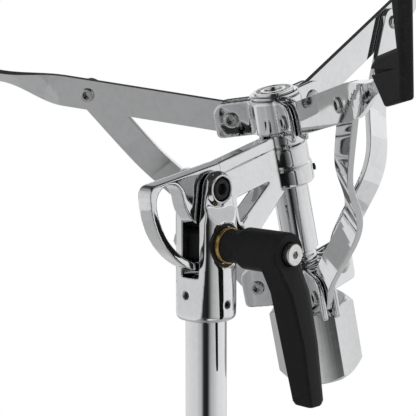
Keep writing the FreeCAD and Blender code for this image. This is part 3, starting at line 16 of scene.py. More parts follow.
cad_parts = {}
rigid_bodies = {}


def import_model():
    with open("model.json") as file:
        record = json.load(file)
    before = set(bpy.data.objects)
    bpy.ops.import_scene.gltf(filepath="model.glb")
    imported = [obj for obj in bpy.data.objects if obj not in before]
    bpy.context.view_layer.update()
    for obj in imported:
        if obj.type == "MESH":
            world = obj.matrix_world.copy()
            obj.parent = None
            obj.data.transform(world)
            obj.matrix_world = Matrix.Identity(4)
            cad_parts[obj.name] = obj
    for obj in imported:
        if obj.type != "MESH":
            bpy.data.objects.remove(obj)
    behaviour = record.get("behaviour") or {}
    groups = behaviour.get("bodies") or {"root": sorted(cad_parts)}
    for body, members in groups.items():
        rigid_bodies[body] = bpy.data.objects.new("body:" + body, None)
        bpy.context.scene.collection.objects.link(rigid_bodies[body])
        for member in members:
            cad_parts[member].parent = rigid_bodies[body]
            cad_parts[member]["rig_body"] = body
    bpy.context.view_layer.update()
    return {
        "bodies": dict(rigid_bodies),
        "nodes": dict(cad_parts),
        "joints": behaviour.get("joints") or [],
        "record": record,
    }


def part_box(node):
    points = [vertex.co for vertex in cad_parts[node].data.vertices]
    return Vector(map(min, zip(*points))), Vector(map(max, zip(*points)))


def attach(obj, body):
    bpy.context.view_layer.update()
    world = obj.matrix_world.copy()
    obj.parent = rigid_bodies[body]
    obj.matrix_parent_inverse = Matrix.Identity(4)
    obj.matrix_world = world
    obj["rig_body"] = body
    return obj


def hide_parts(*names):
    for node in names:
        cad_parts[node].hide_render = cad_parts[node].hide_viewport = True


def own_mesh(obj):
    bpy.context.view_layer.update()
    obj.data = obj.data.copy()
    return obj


LOG = logging.getLogger("snare_stand")
Frame = dict[str, Any]
Colour = tuple[float, float, float]
Outline = list[tuple[float, float]]
CHROME: Colour = (0.70, 0.705, 0.715)


def opaque(colour: Colour) -> tuple[float, float, float, float]:
    """Returns the colour with full opacity."""
    return (*colour, 1.0)


def add_node(tree: bpy.types.NodeTree, kind: str, **values: Any) -> bpy.types.Node:
    """Adds a shader node and sets its properties and unlinked inputs.

    Args:
        tree: The node tree to extend.
        kind: The node's type name.
        **values: Properties by name, or inputs by their label with underscores for spaces.

    Returns:
        The new node.
    """
    node = tree.nodes.new(kind)
    for name, value in values.items():
        label = name.replace("_", " ")
        if label in node.inputs:
            node.inputs[label].default_value = value
        else:
            setattr(node, name, value)
    return node


class Relief(Enum):
    """Kinds of fine relief on a surface, each with the name of its node group."""

    WAVES = "polish_waviness"
    PEBBLES = "moulded_grain"


class SurfaceEffects:
    """Node groups that several finishes share, each built once."""

    speck_ratio: float = 7.0
    faintest_mark: float = 0.2
    fullest_mark: float = 0.42

    def __init__(self) -> None:
        """Builds the handling marks and both kinds of relief."""
        self.marks = self._marks()
        self.relief = {Relief.WAVES: self._waves(), Relief.PEBBLES: self._pebbles()}

    @staticmethod
    def _new_group(name: str, inputs: tuple[str, ...], output: str) -> tuple[Any, Any, Any]:
        """Makes an empty group.

        Args:
            name: The group's name.
            inputs: Names of its number inputs, after the place vector.
            output: Name of its one output.

        Returns:
            The tree, its input node and its output node.
        """
        tree = bpy.data.node_groups.new(name, "ShaderNodeTree")
        tree.interface.new_socket("Place", in_out="INPUT", socket_type="NodeSocketVector")
        for label in inputs:
            tree.interface.new_socket(label, in_out="INPUT", socket_type="NodeSocketFloat")
        tree.interface.new_socket(output, in_out="OUTPUT", socket_type="NodeSocketFloat")
        return tree, tree.nodes.new("NodeGroupInput"), tree.nodes.new("NodeGroupOutput")

    def _marks(self) -> bpy.types.NodeTree:
        """Returns a group that masks faint handling marks and dust."""
        tree, given, result = self._new_group("handling_marks", ("Scale", "Spread"), "Mask")
        cloud = add_node(tree, "ShaderNodeTexNoise", Detail=5.0, Roughness=0.62)
        speck = add_node(tree, "ShaderNodeTexNoise", Detail=2.0, Roughness=0.5)
        finer = add_node(tree, "ShaderNodeMath", operation="MULTIPLY")
        finer.inputs[1].default_value = self.speck_ratio
        both = add_node(tree, "ShaderNodeMath", operation="MULTIPLY")
        shaped = add_node(tree, "ShaderNodeMapRange", From_Min=self.faintest_mark, From_Max=self.fullest_mark)
        spread = add_node(tree, "ShaderNodeMath", operation="MULTIPLY", use_clamp=True)
        link = tree.links.new
        link(given.outputs["Place"], cloud.inputs["Vector"])
        link(given.outputs["Place"], speck.inputs["Vector"])
        link(given.outputs["Scale"], cloud.inputs["Scale"])
        link(given.outputs["Scale"], finer.inputs[0])
        link(finer.outputs[0], speck.inputs["Scale"])
        link(cloud.outputs["Fac"], both.inputs[0])
        link(speck.outputs["Fac"], both.inputs[1])
        link(both.outputs[0], shaped.inputs["Value"])
        link(shaped.outputs[0], spread.inputs[0])
        link(given.outputs["Spread"], spread.inputs[1])
        link(spread.outputs[0], result.inputs["Mask"])
        return tree

    def _waves(self) -> bpy.types.NodeTree:
        """Returns a group with the slow waviness of polished metal."""
        tree, given, result = self._new_group(Relief.WAVES.value, ("Scale",), "Height")
        wave = add_node(tree, "ShaderNodeTexNoise", Detail=1.0, Roughness=0.35)
        tree.links.new(given.outputs["Place"], wave.inputs["Vector"])
        tree.links.new(given.outputs["Scale"], wave.inputs["Scale"])
        tree.links.new(wave.outputs["Fac"], result.inputs["Height"])
        return tree

    def _pebbles(self) -> bpy.types.NodeTree:
        """Returns a group with the pebbled skin of moulded plastic and rubber."""
        tree, given, result = self._new_group(Relief.PEBBLES.value, ("Scale",), "Height")
        pebble = add_node(tree, "ShaderNodeTexVoronoi", feature="SMOOTH_F1")
        soft = add_node(tree, "ShaderNodeTexNoise", Detail=3.0)
        mixed = add_node(tree, "ShaderNodeMath", operation="ADD")
        link = tree.links.new
        for texture in (pebble, soft):
            link(given.outputs["Place"], texture.inputs["Vector"])
            link(given.outputs["Scale"], texture.inputs["Scale"])
        link(pebble.outputs["Distance"], mixed.inputs[0])
        link(soft.outputs["Fac"], mixed.inputs[1])
        link(mixed.outputs[0], result.inputs["Height"])
        return tree


@dataclass(frozen=True)
class Finish:
    """One surface finish: its colours, gloss and the marks on it."""

    name: str
    slot: str
    colour: Colour
    marked: Colour
    metallic: float
    smooth: float
    dull: float
    mark_scale: float
    mark_spread: float
    relief: Relief
    relief_scale: float
    relief_height: float
    specular: float = 0.5

    def material(self, effects: SurfaceEffects) -> bpy.types.Material:
        """Builds the finish as a material.

        Args:
            effects: The shared node groups.

        Returns:
            The new material.
        """
        material = bpy.data.materials.new(self.name)
        material.use_nodes = True
        tree = material.node_tree
        tree.nodes.clear()
        link = tree.links.new
        output = add_node(tree, "ShaderNodeOutputMaterial")
        surface = add_node(tree, "ShaderNodeBsdfPrincipled", Metallic=self.metallic)
        surface.inputs["Specular IOR Level"].default_value = self.specular
        place = add_node(tree, "ShaderNodeTexCoord")
        marks = add_node(tree, "ShaderNodeGroup", node_tree=effects.marks)
        marks.inputs["Scale"].default_value = self.mark_scale
        marks.inputs["Spread"].default_value = self.mark_spread
        link(place.outputs["Object"], marks.inputs["Place"])
        tint = add_node(tree, "ShaderNodeMix", data_type="RGBA")
        tint.inputs["A"].default_value = opaque(self.colour)
        tint.inputs["B"].default_value = opaque(self.marked)
        link(marks.outputs["Mask"], tint.inputs["Factor"])
        link(tint.outputs["Result"], surface.inputs["Base Color"])
        gloss = add_node(tree, "ShaderNodeMapRange", To_Min=self.smooth, To_Max=self.dull)
        link(marks.outputs["Mask"], gloss.inputs["Value"])
        link(gloss.outputs[0], surface.inputs["Roughness"])
        self._add_relief(tree, effects, place, surface)
        link(surface.outputs[0], output.inputs["Surface"])
        return material

    def _add_relief(self, tree: Any, effects: SurfaceEffects, place: Any, surface: Any) -> None:
        """Adds the fine relief of the surface.

        Args:
            tree: The material's node tree.
            effects: The shared node groups.
            place: The coordinate node.
            surface: The surface shader.
        """
        relief = add_node(tree, "ShaderNodeGroup", node_tree=effects.relief[self.relief])
        relief.inputs["Scale"].default_value = self.relief_scale
        bump = add_node(tree, "ShaderNodeBump", Distance=self.relief_height, Strength=1.0)
        tree.links.new(place.outputs["Object"], relief.inputs["Place"])
        tree.links.new(relief.outputs["Height"], bump.inputs["Height"])
        tree.links.new(bump.outputs["Normal"], surface.inputs["Normal"])


class Look(Enum):
    """The finishes found on the stand."""

    TUBE = Finish(
        name="polished_tube", slot="chrome", colour=CHROME, marked=(0.62, 0.625, 0.63),
        metallic=1.0, smooth=0.03, dull=0.09, mark_scale=45.0, mark_spread=0.5,
        relief=Relief.WAVES, relief_scale=40.0, relief_height=0.00002,
    )
    CASTING = Finish(
        name="polished_casting", slot="chrome", colour=CHROME, marked=(0.60, 0.605, 0.61),
        metallic=1.0, smooth=0.035, dull=0.12, mark_scale=60.0, mark_spread=0.6,
        relief=Relief.WAVES, relief_scale=90.0, relief_height=0.00002,
    )
    STRIP = Finish(
        name="polished_strip", slot="chrome", colour=CHROME, marked=(0.61, 0.615, 0.62),
        metallic=1.0, smooth=0.03, dull=0.11, mark_scale=50.0, mark_spread=0.6,
        relief=Relief.WAVES, relief_scale=60.0, relief_height=0.00005,
    )
    SATIN = Finish(
        name="satin_nut", slot="chrome", colour=(0.60, 0.605, 0.61), marked=(0.52, 0.525, 0.53),
        metallic=1.0, smooth=0.13, dull=0.22, mark_scale=70.0, mark_spread=0.5,
        relief=Relief.WAVES, relief_scale=120.0, relief_height=0.00001,
    )
    NICKEL = Finish(
        name="nickel_rivet", slot="chrome", colour=(0.50, 0.50, 0.495), marked=(0.36, 0.36, 0.355),
        metallic=1.0, smooth=0.13, dull=0.3, mark_scale=180.0, mark_spread=0.8,
        relief=Relief.WAVES, relief_scale=400.0, relief_height=0.00003,
    )
    ZINC = Finish(
        name="zinc_plate", slot="bright_steel", colour=(0.66, 0.66, 0.655), marked=(0.48, 0.48, 0.47),
        metallic=1.0, smooth=0.2, dull=0.38, mark_scale=160.0, mark_spread=0.8,
        relief=Relief.WAVES, relief_scale=500.0, relief_height=0.00002,
    )
    OXIDE = Finish(
        name="black_oxide", slot="black_steel", colour=(0.010, 0.010, 0.011), marked=(0.025, 0.025, 0.025),
        metallic=0.0, smooth=0.35, dull=0.5, mark_scale=220.0, mark_spread=0.7,
        relief=Relief.PEBBLES, relief_scale=2600.0, relief_height=0.00001, specular=0.22,
    )
    PLASTIC = Finish(
        name="moulded_plastic", slot="black_plastic", colour=(0.0085, 0.0085, 0.0088), marked=(0.013, 0.013, 0.0135),
        metallic=0.0, smooth=0.5, dull=0.62, mark_scale=120.0, mark_spread=0.8,
        relief=Relief.PEBBLES, relief_scale=2200.0, relief_height=0.00003, specular=0.09,
    )
    RUBBER = Finish(
        name="moulded_rubber", slot="rubber", colour=(0.008, 0.008, 0.0084), marked=(0.015, 0.015, 0.015),
        metallic=0.0, smooth=0.62, dull=0.8, mark_scale=140.0, mark_spread=0.9,
        relief=Relief.PEBBLES, relief_scale=1500.0, relief_height=0.00004, specular=0.13,
    )
    BRASS = Finish(
        name="turned_brass", slot="brass", colour=(0.50, 0.34, 0.13), marked=(0.30, 0.20, 0.08),
        metallic=1.0, smooth=0.24, dull=0.42, mark_scale=240.0, mark_spread=0.9,
        relief=Relief.WAVES, relief_scale=900.0, relief_height=0.00002,
    )
    NYLON = Finish(
        name="nylon", slot="nylon", colour=(0.8, 0.8, 0.77), marked=(0.66, 0.66, 0.62),
        metallic=0.0, smooth=0.4, dull=0.55, mark_scale=180.0, mark_spread=0.7,
        relief=Relief.PEBBLES, relief_scale=1400.0, relief_height=0.00002, specular=0.4,
    )


class Wardrobe:
    """Materials of the stand, one for each look."""

    def __init__(self) -> None:
        """Builds every material once."""
        effects = SurfaceEffects()
        self._materials = {look: look.value.material(effects) for look in Look}

    def dress(self, piece: bpy.types.Object, look: Look) -> None:
        """Gives a piece one look.

        Args:
            piece: The object to dress.
            look: The finish that it takes.
        """
        piece.data.materials.clear()
        piece.data.materials.append(self._materials[look])


@dataclass
class SubAssembly:
    """Pieces that are built and dressed together."""

    frame: Frame
    wardrobe: Wardrobe
    merge: float = 0.000002
    relax: float = 0.5
    flat_angle: float = math.radians(0.7)
    hard_angle: float = math.radians(28.0)
    sharp_angle: float = math.radians(50.0)

    def body_of(self, node: str) -> str:
        """Returns the name of the body that a node belongs to."""
        return self.frame["nodes"][node]["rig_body"]

    def axis_of(self, name: str) -> tuple[Vector, Vector]:
        """Returns a joint's axis and a point on it."""
        joint = next(entry for entry in self.frame["joints"] if entry["name"] == name)
        return Vector(joint["axis"]), Vector(joint["pos_m"])

    def add_piece(self, name: str, form: bmesh.types.BMesh, look: Look, body: str) -> bpy.types.Object:
        """Makes an object of a finished form and lets it ride on a body.

        Args:
            name: The piece's name.
            form: Its shape, which is freed here.
            look: Its finish.
            body: The body that carries it.

        Returns:
            The new object.
        """
        mesh = bpy.data.meshes.new(name)
        form.to_mesh(mesh)
        form.free()
        mesh.shade_smooth()
        mesh.set_sharp_from_angle(angle=self.sharp_angle)
        piece = bpy.data.objects.new(name, mesh)
        bpy.context.scene.collection.objects.link(piece)
        even = piece.modifiers.new("even_normals", "WEIGHTED_NORMAL")
        even.keep_sharp = True
        self.wardrobe.dress(piece, look)
        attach(piece, body)
        LOG.info("piece %s rides on %s", name, body)
        return piece

    def spin(self, form: bmesh.types.BMesh, outline: Outline, turns: float = 1.0, pitch: float = 0.0,
             steps: int = 56) -> None:
        """Spins an outline of (radius, height) points about Z, flat or along a helix.

        Args:
            form: The mesh that it is added to.
            outline: The points of the section, which is closed unless it starts and ends on the axis.
            turns: How many times it goes round.
            pitch: How far it climbs in one turn.
            steps: Faces in one turn.
        """
        points = [form.verts.new((radius, 0.0, height)) for radius, height in outline]
        on_axis = outline[0][0] == 0.0 and outline[-1][0] == 0.0
        pairs = list(zip(points, points[1:])) + ([] if on_axis else [(points[-1], points[0])])
        lines = [form.edges.new(pair) for pair in pairs]
        bmesh.ops.spin(form, geom=points + lines, cent=(0.0, 0.0, 0.0), axis=(0.0, 0.0, 1.0),
                       dvec=(0.0, 0.0, pitch / steps), angle=math.tau * turns, steps=round(steps * turns),
                       use_merge=pitch == 0.0)
        bmesh.ops.remove_doubles(form, verts=form.verts, dist=self.merge)
        rims = [line for line in form.edges if line.is_boundary]
        bmesh.ops.holes_fill(form, edges=rims, sides=0)
        bmesh.ops.recalc_face_normals(form, faces=form.faces)

    def soften(self, node: str, look: Look, edge: float, segments: int = 2) -> bpy.types.Object:
        """Makes a copy of a node with its hard edges rounded, which stands for the node.

        Args:
            node: The CAD node.
            look: The finish of the copy.
            edge: Width of the rounding in metres.
            segments: Faces across each rounding.

        Returns:
            The new piece.
        """
        mesh = self.frame["nodes"][node].data.copy()
        normals = mesh.attributes.get("custom_normal")
        if normals is not None:
            mesh.attributes.remove(normals)
        form = bmesh.new()
        form.from_mesh(mesh)
        bpy.data.meshes.remove(mesh)
        bmesh.ops.remove_doubles(form, verts=form.verts, dist=self.merge)
        bmesh.ops.dissolve_limit(form, angle_limit=self.flat_angle, verts=form.verts, edges=form.edges)
        hard = [line for line in form.edges if line.is_manifold and line.calc_face_angle() > self.hard_angle]
        bmesh.ops.bevel(form, geom=hard, offset=edge, offset_type="OFFSET", affect="EDGES", segments=segments,
                        profile=0.5, material=-1, clamp_overlap=True)
        piece = self.add_piece(f"{node}_finished", form, look, self.body_of(node))
        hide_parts(node)
        return piece

    def cast(self, node: str, look: Look, grid: float, rounds: int) -> bpy.types.Object:
        """Makes a copy of a node with the flowing edges of a polished casting, which stands for the node.

        Args:
            node: The CAD node.
            look: The finish of the copy.
            grid: Spacing of the even grid that the copy is laid on, in metres.
            rounds: How often the grid is relaxed, which sets how wide the edges round.

        Returns:
            The new piece.
        """
        rough = bpy.data.objects.new(f"{node}_rough", self.frame["nodes"][node].data.copy())
        bpy.context.scene.collection.objects.link(rough)
        weld = rough.modifiers.new("weld", "WELD")
        weld.merge_threshold = self.merge
        even = rough.modifiers.new("even_grid", "REMESH")
        even.mode = "VOXEL"
        even.voxel_size = grid
        bpy.context.view_layer.update()
        whole = rough.evaluated_get(bpy.context.evaluated_depsgraph_get())
        mesh = bpy.data.meshes.new_from_object(whole)
        form = bmesh.new()
        form.from_mesh(mesh)
        bpy.data.meshes.remove(mesh)
        bpy.data.objects.remove(rough)
        for _ in range(rounds):
            bmesh.ops.smooth_vert(form, verts=form.verts, factor=self.relax, use_axis_x=True, use_axis_y=True,
                                  use_axis_z=True)
        piece = self.add_piece(f"{node}_cast", form, look, self.body_of(node))
        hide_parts(node)
        return piece

    def sliced(self, piece: bpy.types.Object, planes: list[tuple[Vector, Vector]]) -> bmesh.types.BMesh:
        """Returns a piece's form with added edges where planes cross it.

        Args:
            piece: The piece to cut.
            planes: A point on each plane and the plane's normal.

        Returns:
            The form, which still has to be put back on the piece.
        """
        form = bmesh.new()
        form.from_mesh(piece.data)
        for point, normal in planes:
            whole = form.verts[:] + form.edges[:] + form.faces[:]
            bmesh.ops.bisect_plane(form, geom=whole, dist=self.merge, plane_co=point, plane_no=normal)
        return form

    def soften_all(self, nodes: list[str], look: Look, edge: float) -> None:
        """Rounds and dresses several nodes alike.

        Args:
            nodes: The CAD nodes.
            look: Their finish.
            edge: Width of the rounding in metres.
        """
        for node in nodes:
            self.soften(node, look, edge)


@dataclass
class HeightTube(SubAssembly):
    """Upper tube with the forked sleeve, its bolt and its screws."""

    block_edge: float = 0.0006
    screw_edge: float = 0.00015
    sleeve_grid: float = 0.00036
    sleeve_rounds: int = 16

    def build(self) -> None:
        """Dresses the tube, the sleeve and their fasteners."""
        self.soften("upper_tube", Look.TUBE, self.screw_edge)
        self.cast("tilter_sleeve", Look.CASTING, self.sleeve_grid, self.sleeve_rounds)
        self.soften_all(["sleeve_screws", "pivot_bolt"], Look.OXIDE, self.screw_edge)
        self.soften("clamp_block", Look.PLASTIC, self.block_edge)
        self.soften_all(["pivot_nut", "lever_nut"], Look.ZINC, self.screw_edge)


@dataclass
class ClampLever(SubAssembly):
    """Clamp lever with its hub, spring and screw."""

    handle_edge: float = 0.0009
    screw_edge: float = 0.0002
    spring_wire: float = 0.001
    spring_turns: int = 6
    spring_steps: int = 28
    wire_sides: int = 12
    lift: float = 0.004
    collar_inner: float = 0.00765
    collar_outer: float = 0.0082
    collar_length: float = 0.0032
    collar_edge: float = 0.0003
    # Sizes of a thin black washer on the sleeve's seat. Its black is painted shade for the dark gap round the hub,
    # as well as being a washer.
    shade_washer_inner: float = 0.0084
    shade_washer_outer: float = 0.0095
    shade_washer_thick: float = 0.0006

    def build(self) -> None:
        """Dresses the lever's pieces."""
        self.soften("lever_handle", Look.PLASTIC, self.handle_edge)
        self.soften("lever_bush", Look.BRASS, self.screw_edge)
        self.soften_all(["lever_screw", "lever_stud"], Look.ZINC, self.screw_edge)
        inner, outer, length = self.collar_inner, self.collar_outer, self.collar_length
        self._ring("lever_collar", Look.BRASS, "lever_bush", [
            (inner, 0.0), (outer, 0.0), (outer, length - self.collar_edge), (outer - self.collar_edge, length),
            (inner, length),
        ])
        # A thin black oxide washer on the sleeve's seat, outside the brass collar. Its black paints the shade in the
        # gap round the hub, where the bare chrome seat would shine.
        inner, outer, thick = self.shade_washer_inner, self.shade_washer_outer, self.shade_washer_thick
        self._ring("lever_shade_washer", Look.OXIDE, "tilter_sleeve", [
            (inner, 0.0), (outer, 0.0), (outer, thick), (inner, thick),
        ])
        self._spring()

    def _ring(self, name: str, look: Look, carrier: str, outline: Outline) -> None:
        """Turns a ring round the hub, which starts on the sleeve's seat.

        Args:
            name: The ring's name.
            look: Its finish.
            carrier: The node whose body it rides on.
            outline: Its section, with heights measured out from the seat.
        """
        low, high = map(Vector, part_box("lever_bush"))
        middle = (low + high) / 2
        form = bmesh.new()
        self.spin(form, outline)
        self._lay_out(form, Vector((middle.x, high.y, middle.z)))
        self.add_piece(name, form, look, self.body_of(carrier))

    @staticmethod
    def _lay_out(form: bmesh.types.BMesh, start: Vector) -> None:
        """Turns an upright form to point out along the hub, from its start."""
        place = Matrix.Translation(start) @ Matrix.Rotation(math.radians(90.0), 4, "X")
        bmesh.ops.transform(form, matrix=place, verts=form.verts)

    def _spring(self) -> None:
        """Winds the spring that the lifted handle presses against the screw's head."""
        low, high = map(Vector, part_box("lever_spring"))
        wire = self.spring_wire / 2
        coil = (high.x - low.x) / 2 - wire
        length = high.y - low.y
        angles = [math.tau * step / self.wire_sides for step in range(self.wire_sides)]
        section = [(coil + wire * math.cos(angle), wire * math.sin(angle)) for angle in angles]
        form = bmesh.new()
        pitch = (length - self.spring_wire) / self.spring_turns
        self.spin(form, section, self.spring_turns, pitch, self.spring_steps)
        middle = (low + high) / 2
        self._lay_out(form, Vector((middle.x, high.y - wire, middle.z)))
        spring = self.add_piece("lever_spring_wound", form, Look.ZINC, self.body_of("lever_spring"))
        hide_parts("lever_spring")
        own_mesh(spring)


@dataclass
class Tilter(SubAssembly):
    """Tilting arm with the basket post, its hubs and the big nut."""

    arm_grid: float = 0.00042
    arm_rounds: int = 9
    hub_grid: float = 0.0004
    upper_hub_rounds: int = 14
    lower_hub_rounds: int = 12
    nut_edge: float = 0.0007
    nut_segments: int = 3
    nut_hollow: float = 0.0007
    nut_cuts: int = 12
    facet_start: float = 0.7
    facet_fade: float = 0.1
    screw_edge: float = 0.0002
    post_wall: float = 0.0026
    thread_run: float = 0.069
    thread_pitch: float = 0.0025
    thread_depth: float = 0.0009
    thread_inset: float = 0.00045
    thread_foot_share: float = 0.44
    thread_tip_share: float = 0.08
    thread_steps: int = 32

    def build(self) -> None:
        """Dresses the tilter and what stands on it."""
        self.cast("tilter_arm", Look.CASTING, self.arm_grid, self.arm_rounds)
        self._post()
        self.cast("upper_hub", Look.CASTING, self.hub_grid, self.upper_hub_rounds)
        self.cast("lower_hub", Look.CASTING, self.hub_grid, self.lower_hub_rounds)
        self.soften("hub_cap", Look.CASTING, self.screw_edge)
        self.soften_all(["upper_rivets", "lower_rivets"], Look.NICKEL, self.screw_edge)
        self.soften("post_screw", Look.OXIDE, self.screw_edge)
        self._nut()

    def _nut(self) -> None:
        """Rounds the big nut's edges and hollows its facets a little."""
        axis, pin = self.axis_of("nut_spin")
        upright = axis.to_track_quat("Z", "Y")
        nut = self.soften("basket_nut", Look.SATIN, self.nut_edge, self.nut_segments)
        side = math.radians(60.0)
        turns = [side * step / self.nut_cuts for step in range(3 * self.nut_cuts)]
        form = self.sliced(nut, [(pin, upright @ Vector((math.cos(turn), math.sin(turn), 0.0))) for turn in turns])
        points = [upright.inverted() @ (vert.co - pin) for vert in form.verts]
        corner = max(points, key=lambda point: point.xy.length)
        reach = corner.xy.length
        for vert, point in zip(form.verts, points):
            across = (math.atan2(point.y, point.x) - math.atan2(corner.y, corner.x)) % side - side / 2
            outside = min(max(point.xy.length / reach - self.facet_start, 0.0) / self.facet_fade, 1.0)
            inward = self.nut_hollow * outside * (1.0 - (math.tan(across) / math.tan(side / 2)) ** 2)
            point.xy *= 1.0 - inward / reach
            vert.co = pin + upright @ point
        form.to_mesh(nut.data)
        form.free()

    def _post(self) -> None:
        """Turns the basket post, plain above and with a cut thread below."""
        axis, pin = self.axis_of("nut_spin")
        points = [vert.co - pin for vert in self.frame["nodes"]["basket_post"].data.vertices]
        heights = [point.dot(axis) for point in points]
        foot, top = min(heights), max(heights)
        outer = max((point - axis * height).length for point, height in zip(points, heights))
        crest = outer - self.thread_inset
        root = crest - self.thread_depth
        bore = outer - self.post_wall
        edge = self.screw_edge
        shoulder = foot + self.thread_run
        form = bmesh.new()
        self.spin(form, [
            (bore, foot), (root - edge, foot), (root, foot + edge), (root, shoulder - self.thread_depth),
            (outer, shoulder), (outer, top - edge), (outer - edge, top), (bore, top),
        ])
        pitch = self.thread_pitch
        half = pitch * self.thread_foot_share
        flat = pitch * self.thread_tip_share
        first = foot + half
        sunk = root - edge
        self.spin(form, [(sunk, first - half), (crest, first - flat), (crest, first + flat), (sunk, first + half)],
                  (self.thread_run - pitch) // pitch, pitch, self.thread_steps)
        place = Matrix.Translation(pin) @ axis.to_track_quat("Z", "Y").to_matrix().to_4x4()
        bmesh.ops.transform(form, matrix=place, verts=form.verts)
        post = self.add_piece("basket_post_threaded", form, Look.TUBE, self.body_of("basket_post"))
        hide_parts("basket_post")


@dataclass
class Basket(SubAssembly):
    """The three arms with their braces, rivets and boots."""

    strip_edge: float = 0.0004
    rivet_edge: float = 0.0002
    boot_edge: float = 0.0011
    boot_segments: int = 3
    bend_step: float = 0.0015
    bend_near: float = 0.01
    bend_rounds: int = 40
    bend_hold: float = 0.011
    bend_fade: float = 0.012
    places: tuple[str, ...] = ("left", "front", "far")

    def build(self) -> None:
        """Dresses every arm, brace and boot."""
        for place in self.places:
            self.soften(f"arm_{place}", Look.STRIP, self.strip_edge)
            self._brace(place)
            self.soften_all([f"arm_rivet_{place}", f"brace_rivet_{place}"], Look.NICKEL, self.rivet_edge)
            self.soften(f"boot_{place}", Look.RUBBER, self.boot_edge, self.boot_segments)

    def _brace(self, place: str) -> None:
        """Rounds a brace's edges and lets its bends flow into one another between the pins.

        Args:
            place: The arm that the brace holds up.
        """
        brace = self.soften(f"brace_{place}", Look.STRIP, self.strip_edge)
        axis, pin = self.axis_of(f"brace_{place}_fold")
        flat = [vert.co - pin - axis * (vert.co - pin).dot(axis) for vert in brace.data.vertices]
        along = max(flat, key=lambda point: point.length).normalized()
        last = int(max(point.dot(along) for point in flat) / self.bend_step)
        stations = [self.bend_step * step for step in range(1, last)]
        form = self.sliced(brace, [(pin + along * station, along) for station in stations])
        sides: list[list[float]] = [[] for _ in stations]
        for vert in form.verts:
            step = (vert.co - pin).dot(along) / self.bend_step
            if abs(step - round(step)) < self.bend_near and 1 <= round(step) < last:
                sides[round(step) - 1].append((vert.co - pin).dot(axis))
        middles = [(min(found) + max(found)) / 2 for found in sides]
        eased = middles
        for _ in range(self.bend_rounds):
            padded = [eased[0], *eased, eased[-1]]
            eased = [sum(padded[step:step + 3]) / 3 for step in range(len(eased))]
        shifts = [after - before for before, after in zip(middles, eased)]
        end = self.bend_step * last
        for vert in form.verts:
            reach = (vert.co - pin).dot(along)
            step = reach / self.bend_step - 1
            below = min(max(int(step), 0), len(shifts) - 2)
            share = min(max(step - below, 0.0), 1.0)
            free = (min(reach, end - self.bend_hold - reach) - self.bend_hold) / self.bend_fade
            shift = shifts[below] * (1.0 - share) + shifts[below + 1] * share
            vert.co += axis * (shift * min(max(free, 0.0), 1.0))
        form.to_mesh(brace.data)
        form.free()


@dataclass
class Base(SubAssembly):
    """Base tube with its clamp, legs, struts and feet."""

    casting_edge: float = 0.0007
    strip_edge: float = 0.0004
    rivet_edge: float = 0.0002
    foot_edge: float = 0.0010
    foot_round: float = 0.004
    foot_round_steps: int = 6
    foot_ribs: int = 4
    foot_groove: float = 0.0009
    groove_shares: tuple[float, ...] = (0.45, 0.6, 0.8, 0.95)
    legs: tuple[str, ...] = ("right", "rear", "side")
    castings: tuple[str, ...] = ("base_clamp", "memory_lock", "leg_collar", "lower_bracket", "clamp_bolt",
                                 "collar_bolt")

    def build(self) -> None:
        """Dresses the base."""
        self.soften("base_tube", Look.TUBE, self.rivet_edge)
        self.soften_all(list(self.castings), Look.CASTING, self.casting_edge)
        self.soften_all(["collar_rivets", "bracket_rivets"], Look.NICKEL, self.rivet_edge)
        self.soften("memory_screw", Look.ZINC, self.rivet_edge)
        self.soften("clamp_bush", Look.NYLON, self.rivet_edge)
        self.soften("tube_plug", Look.RUBBER, self.foot_edge)
        for leg in self.legs:
            self.soften_all([f"leg_{leg}", f"strut_{leg}"], Look.STRIP, self.strip_edge)
            self.soften(f"leg_rivet_{leg}", Look.NICKEL, self.rivet_edge)
            self._foot(f"foot_{leg}")

    def _foot(self, node: str) -> None:
        """Turns a ribbed rubber foot with a rounded shoulder.

        Args:
            node: The CAD foot that it stands for.
        """
        low, high = map(Vector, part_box(node))
        radius = (high.x - low.x) / 2
        height = high.z - low.z
        outline = [(0.0, 0.0), (radius - self.foot_edge, 0.0), (radius, self.foot_edge)]
        rib = (height - self.foot_round - self.foot_edge) / self.foot_ribs
        root = radius - self.foot_groove
        for count in range(self.foot_ribs):
            level = self.foot_edge + rib * count
            levels = [level + rib * share for share in self.groove_shares]
            outline += zip((radius, root, root, radius), levels)
        for step in range(1, self.foot_round_steps + 1):
            angle = math.radians(90.0 * step / self.foot_round_steps)
            outline.append((radius - self.foot_round * (1.0 - math.cos(angle)),
                            height - self.foot_round * (1.0 - math.sin(angle))))
        outline.append((0.0, height))
        form = bmesh.new()
        self.spin(form, outline)
        middle = (low + high) / 2
        bmesh.ops.translate(form, vec=(middle.x, middle.y, low.z), verts=form.verts)
        foot = self.add_piece(f"{node}_ribbed", form, Look.RUBBER, self.body_of(node))
        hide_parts(node)


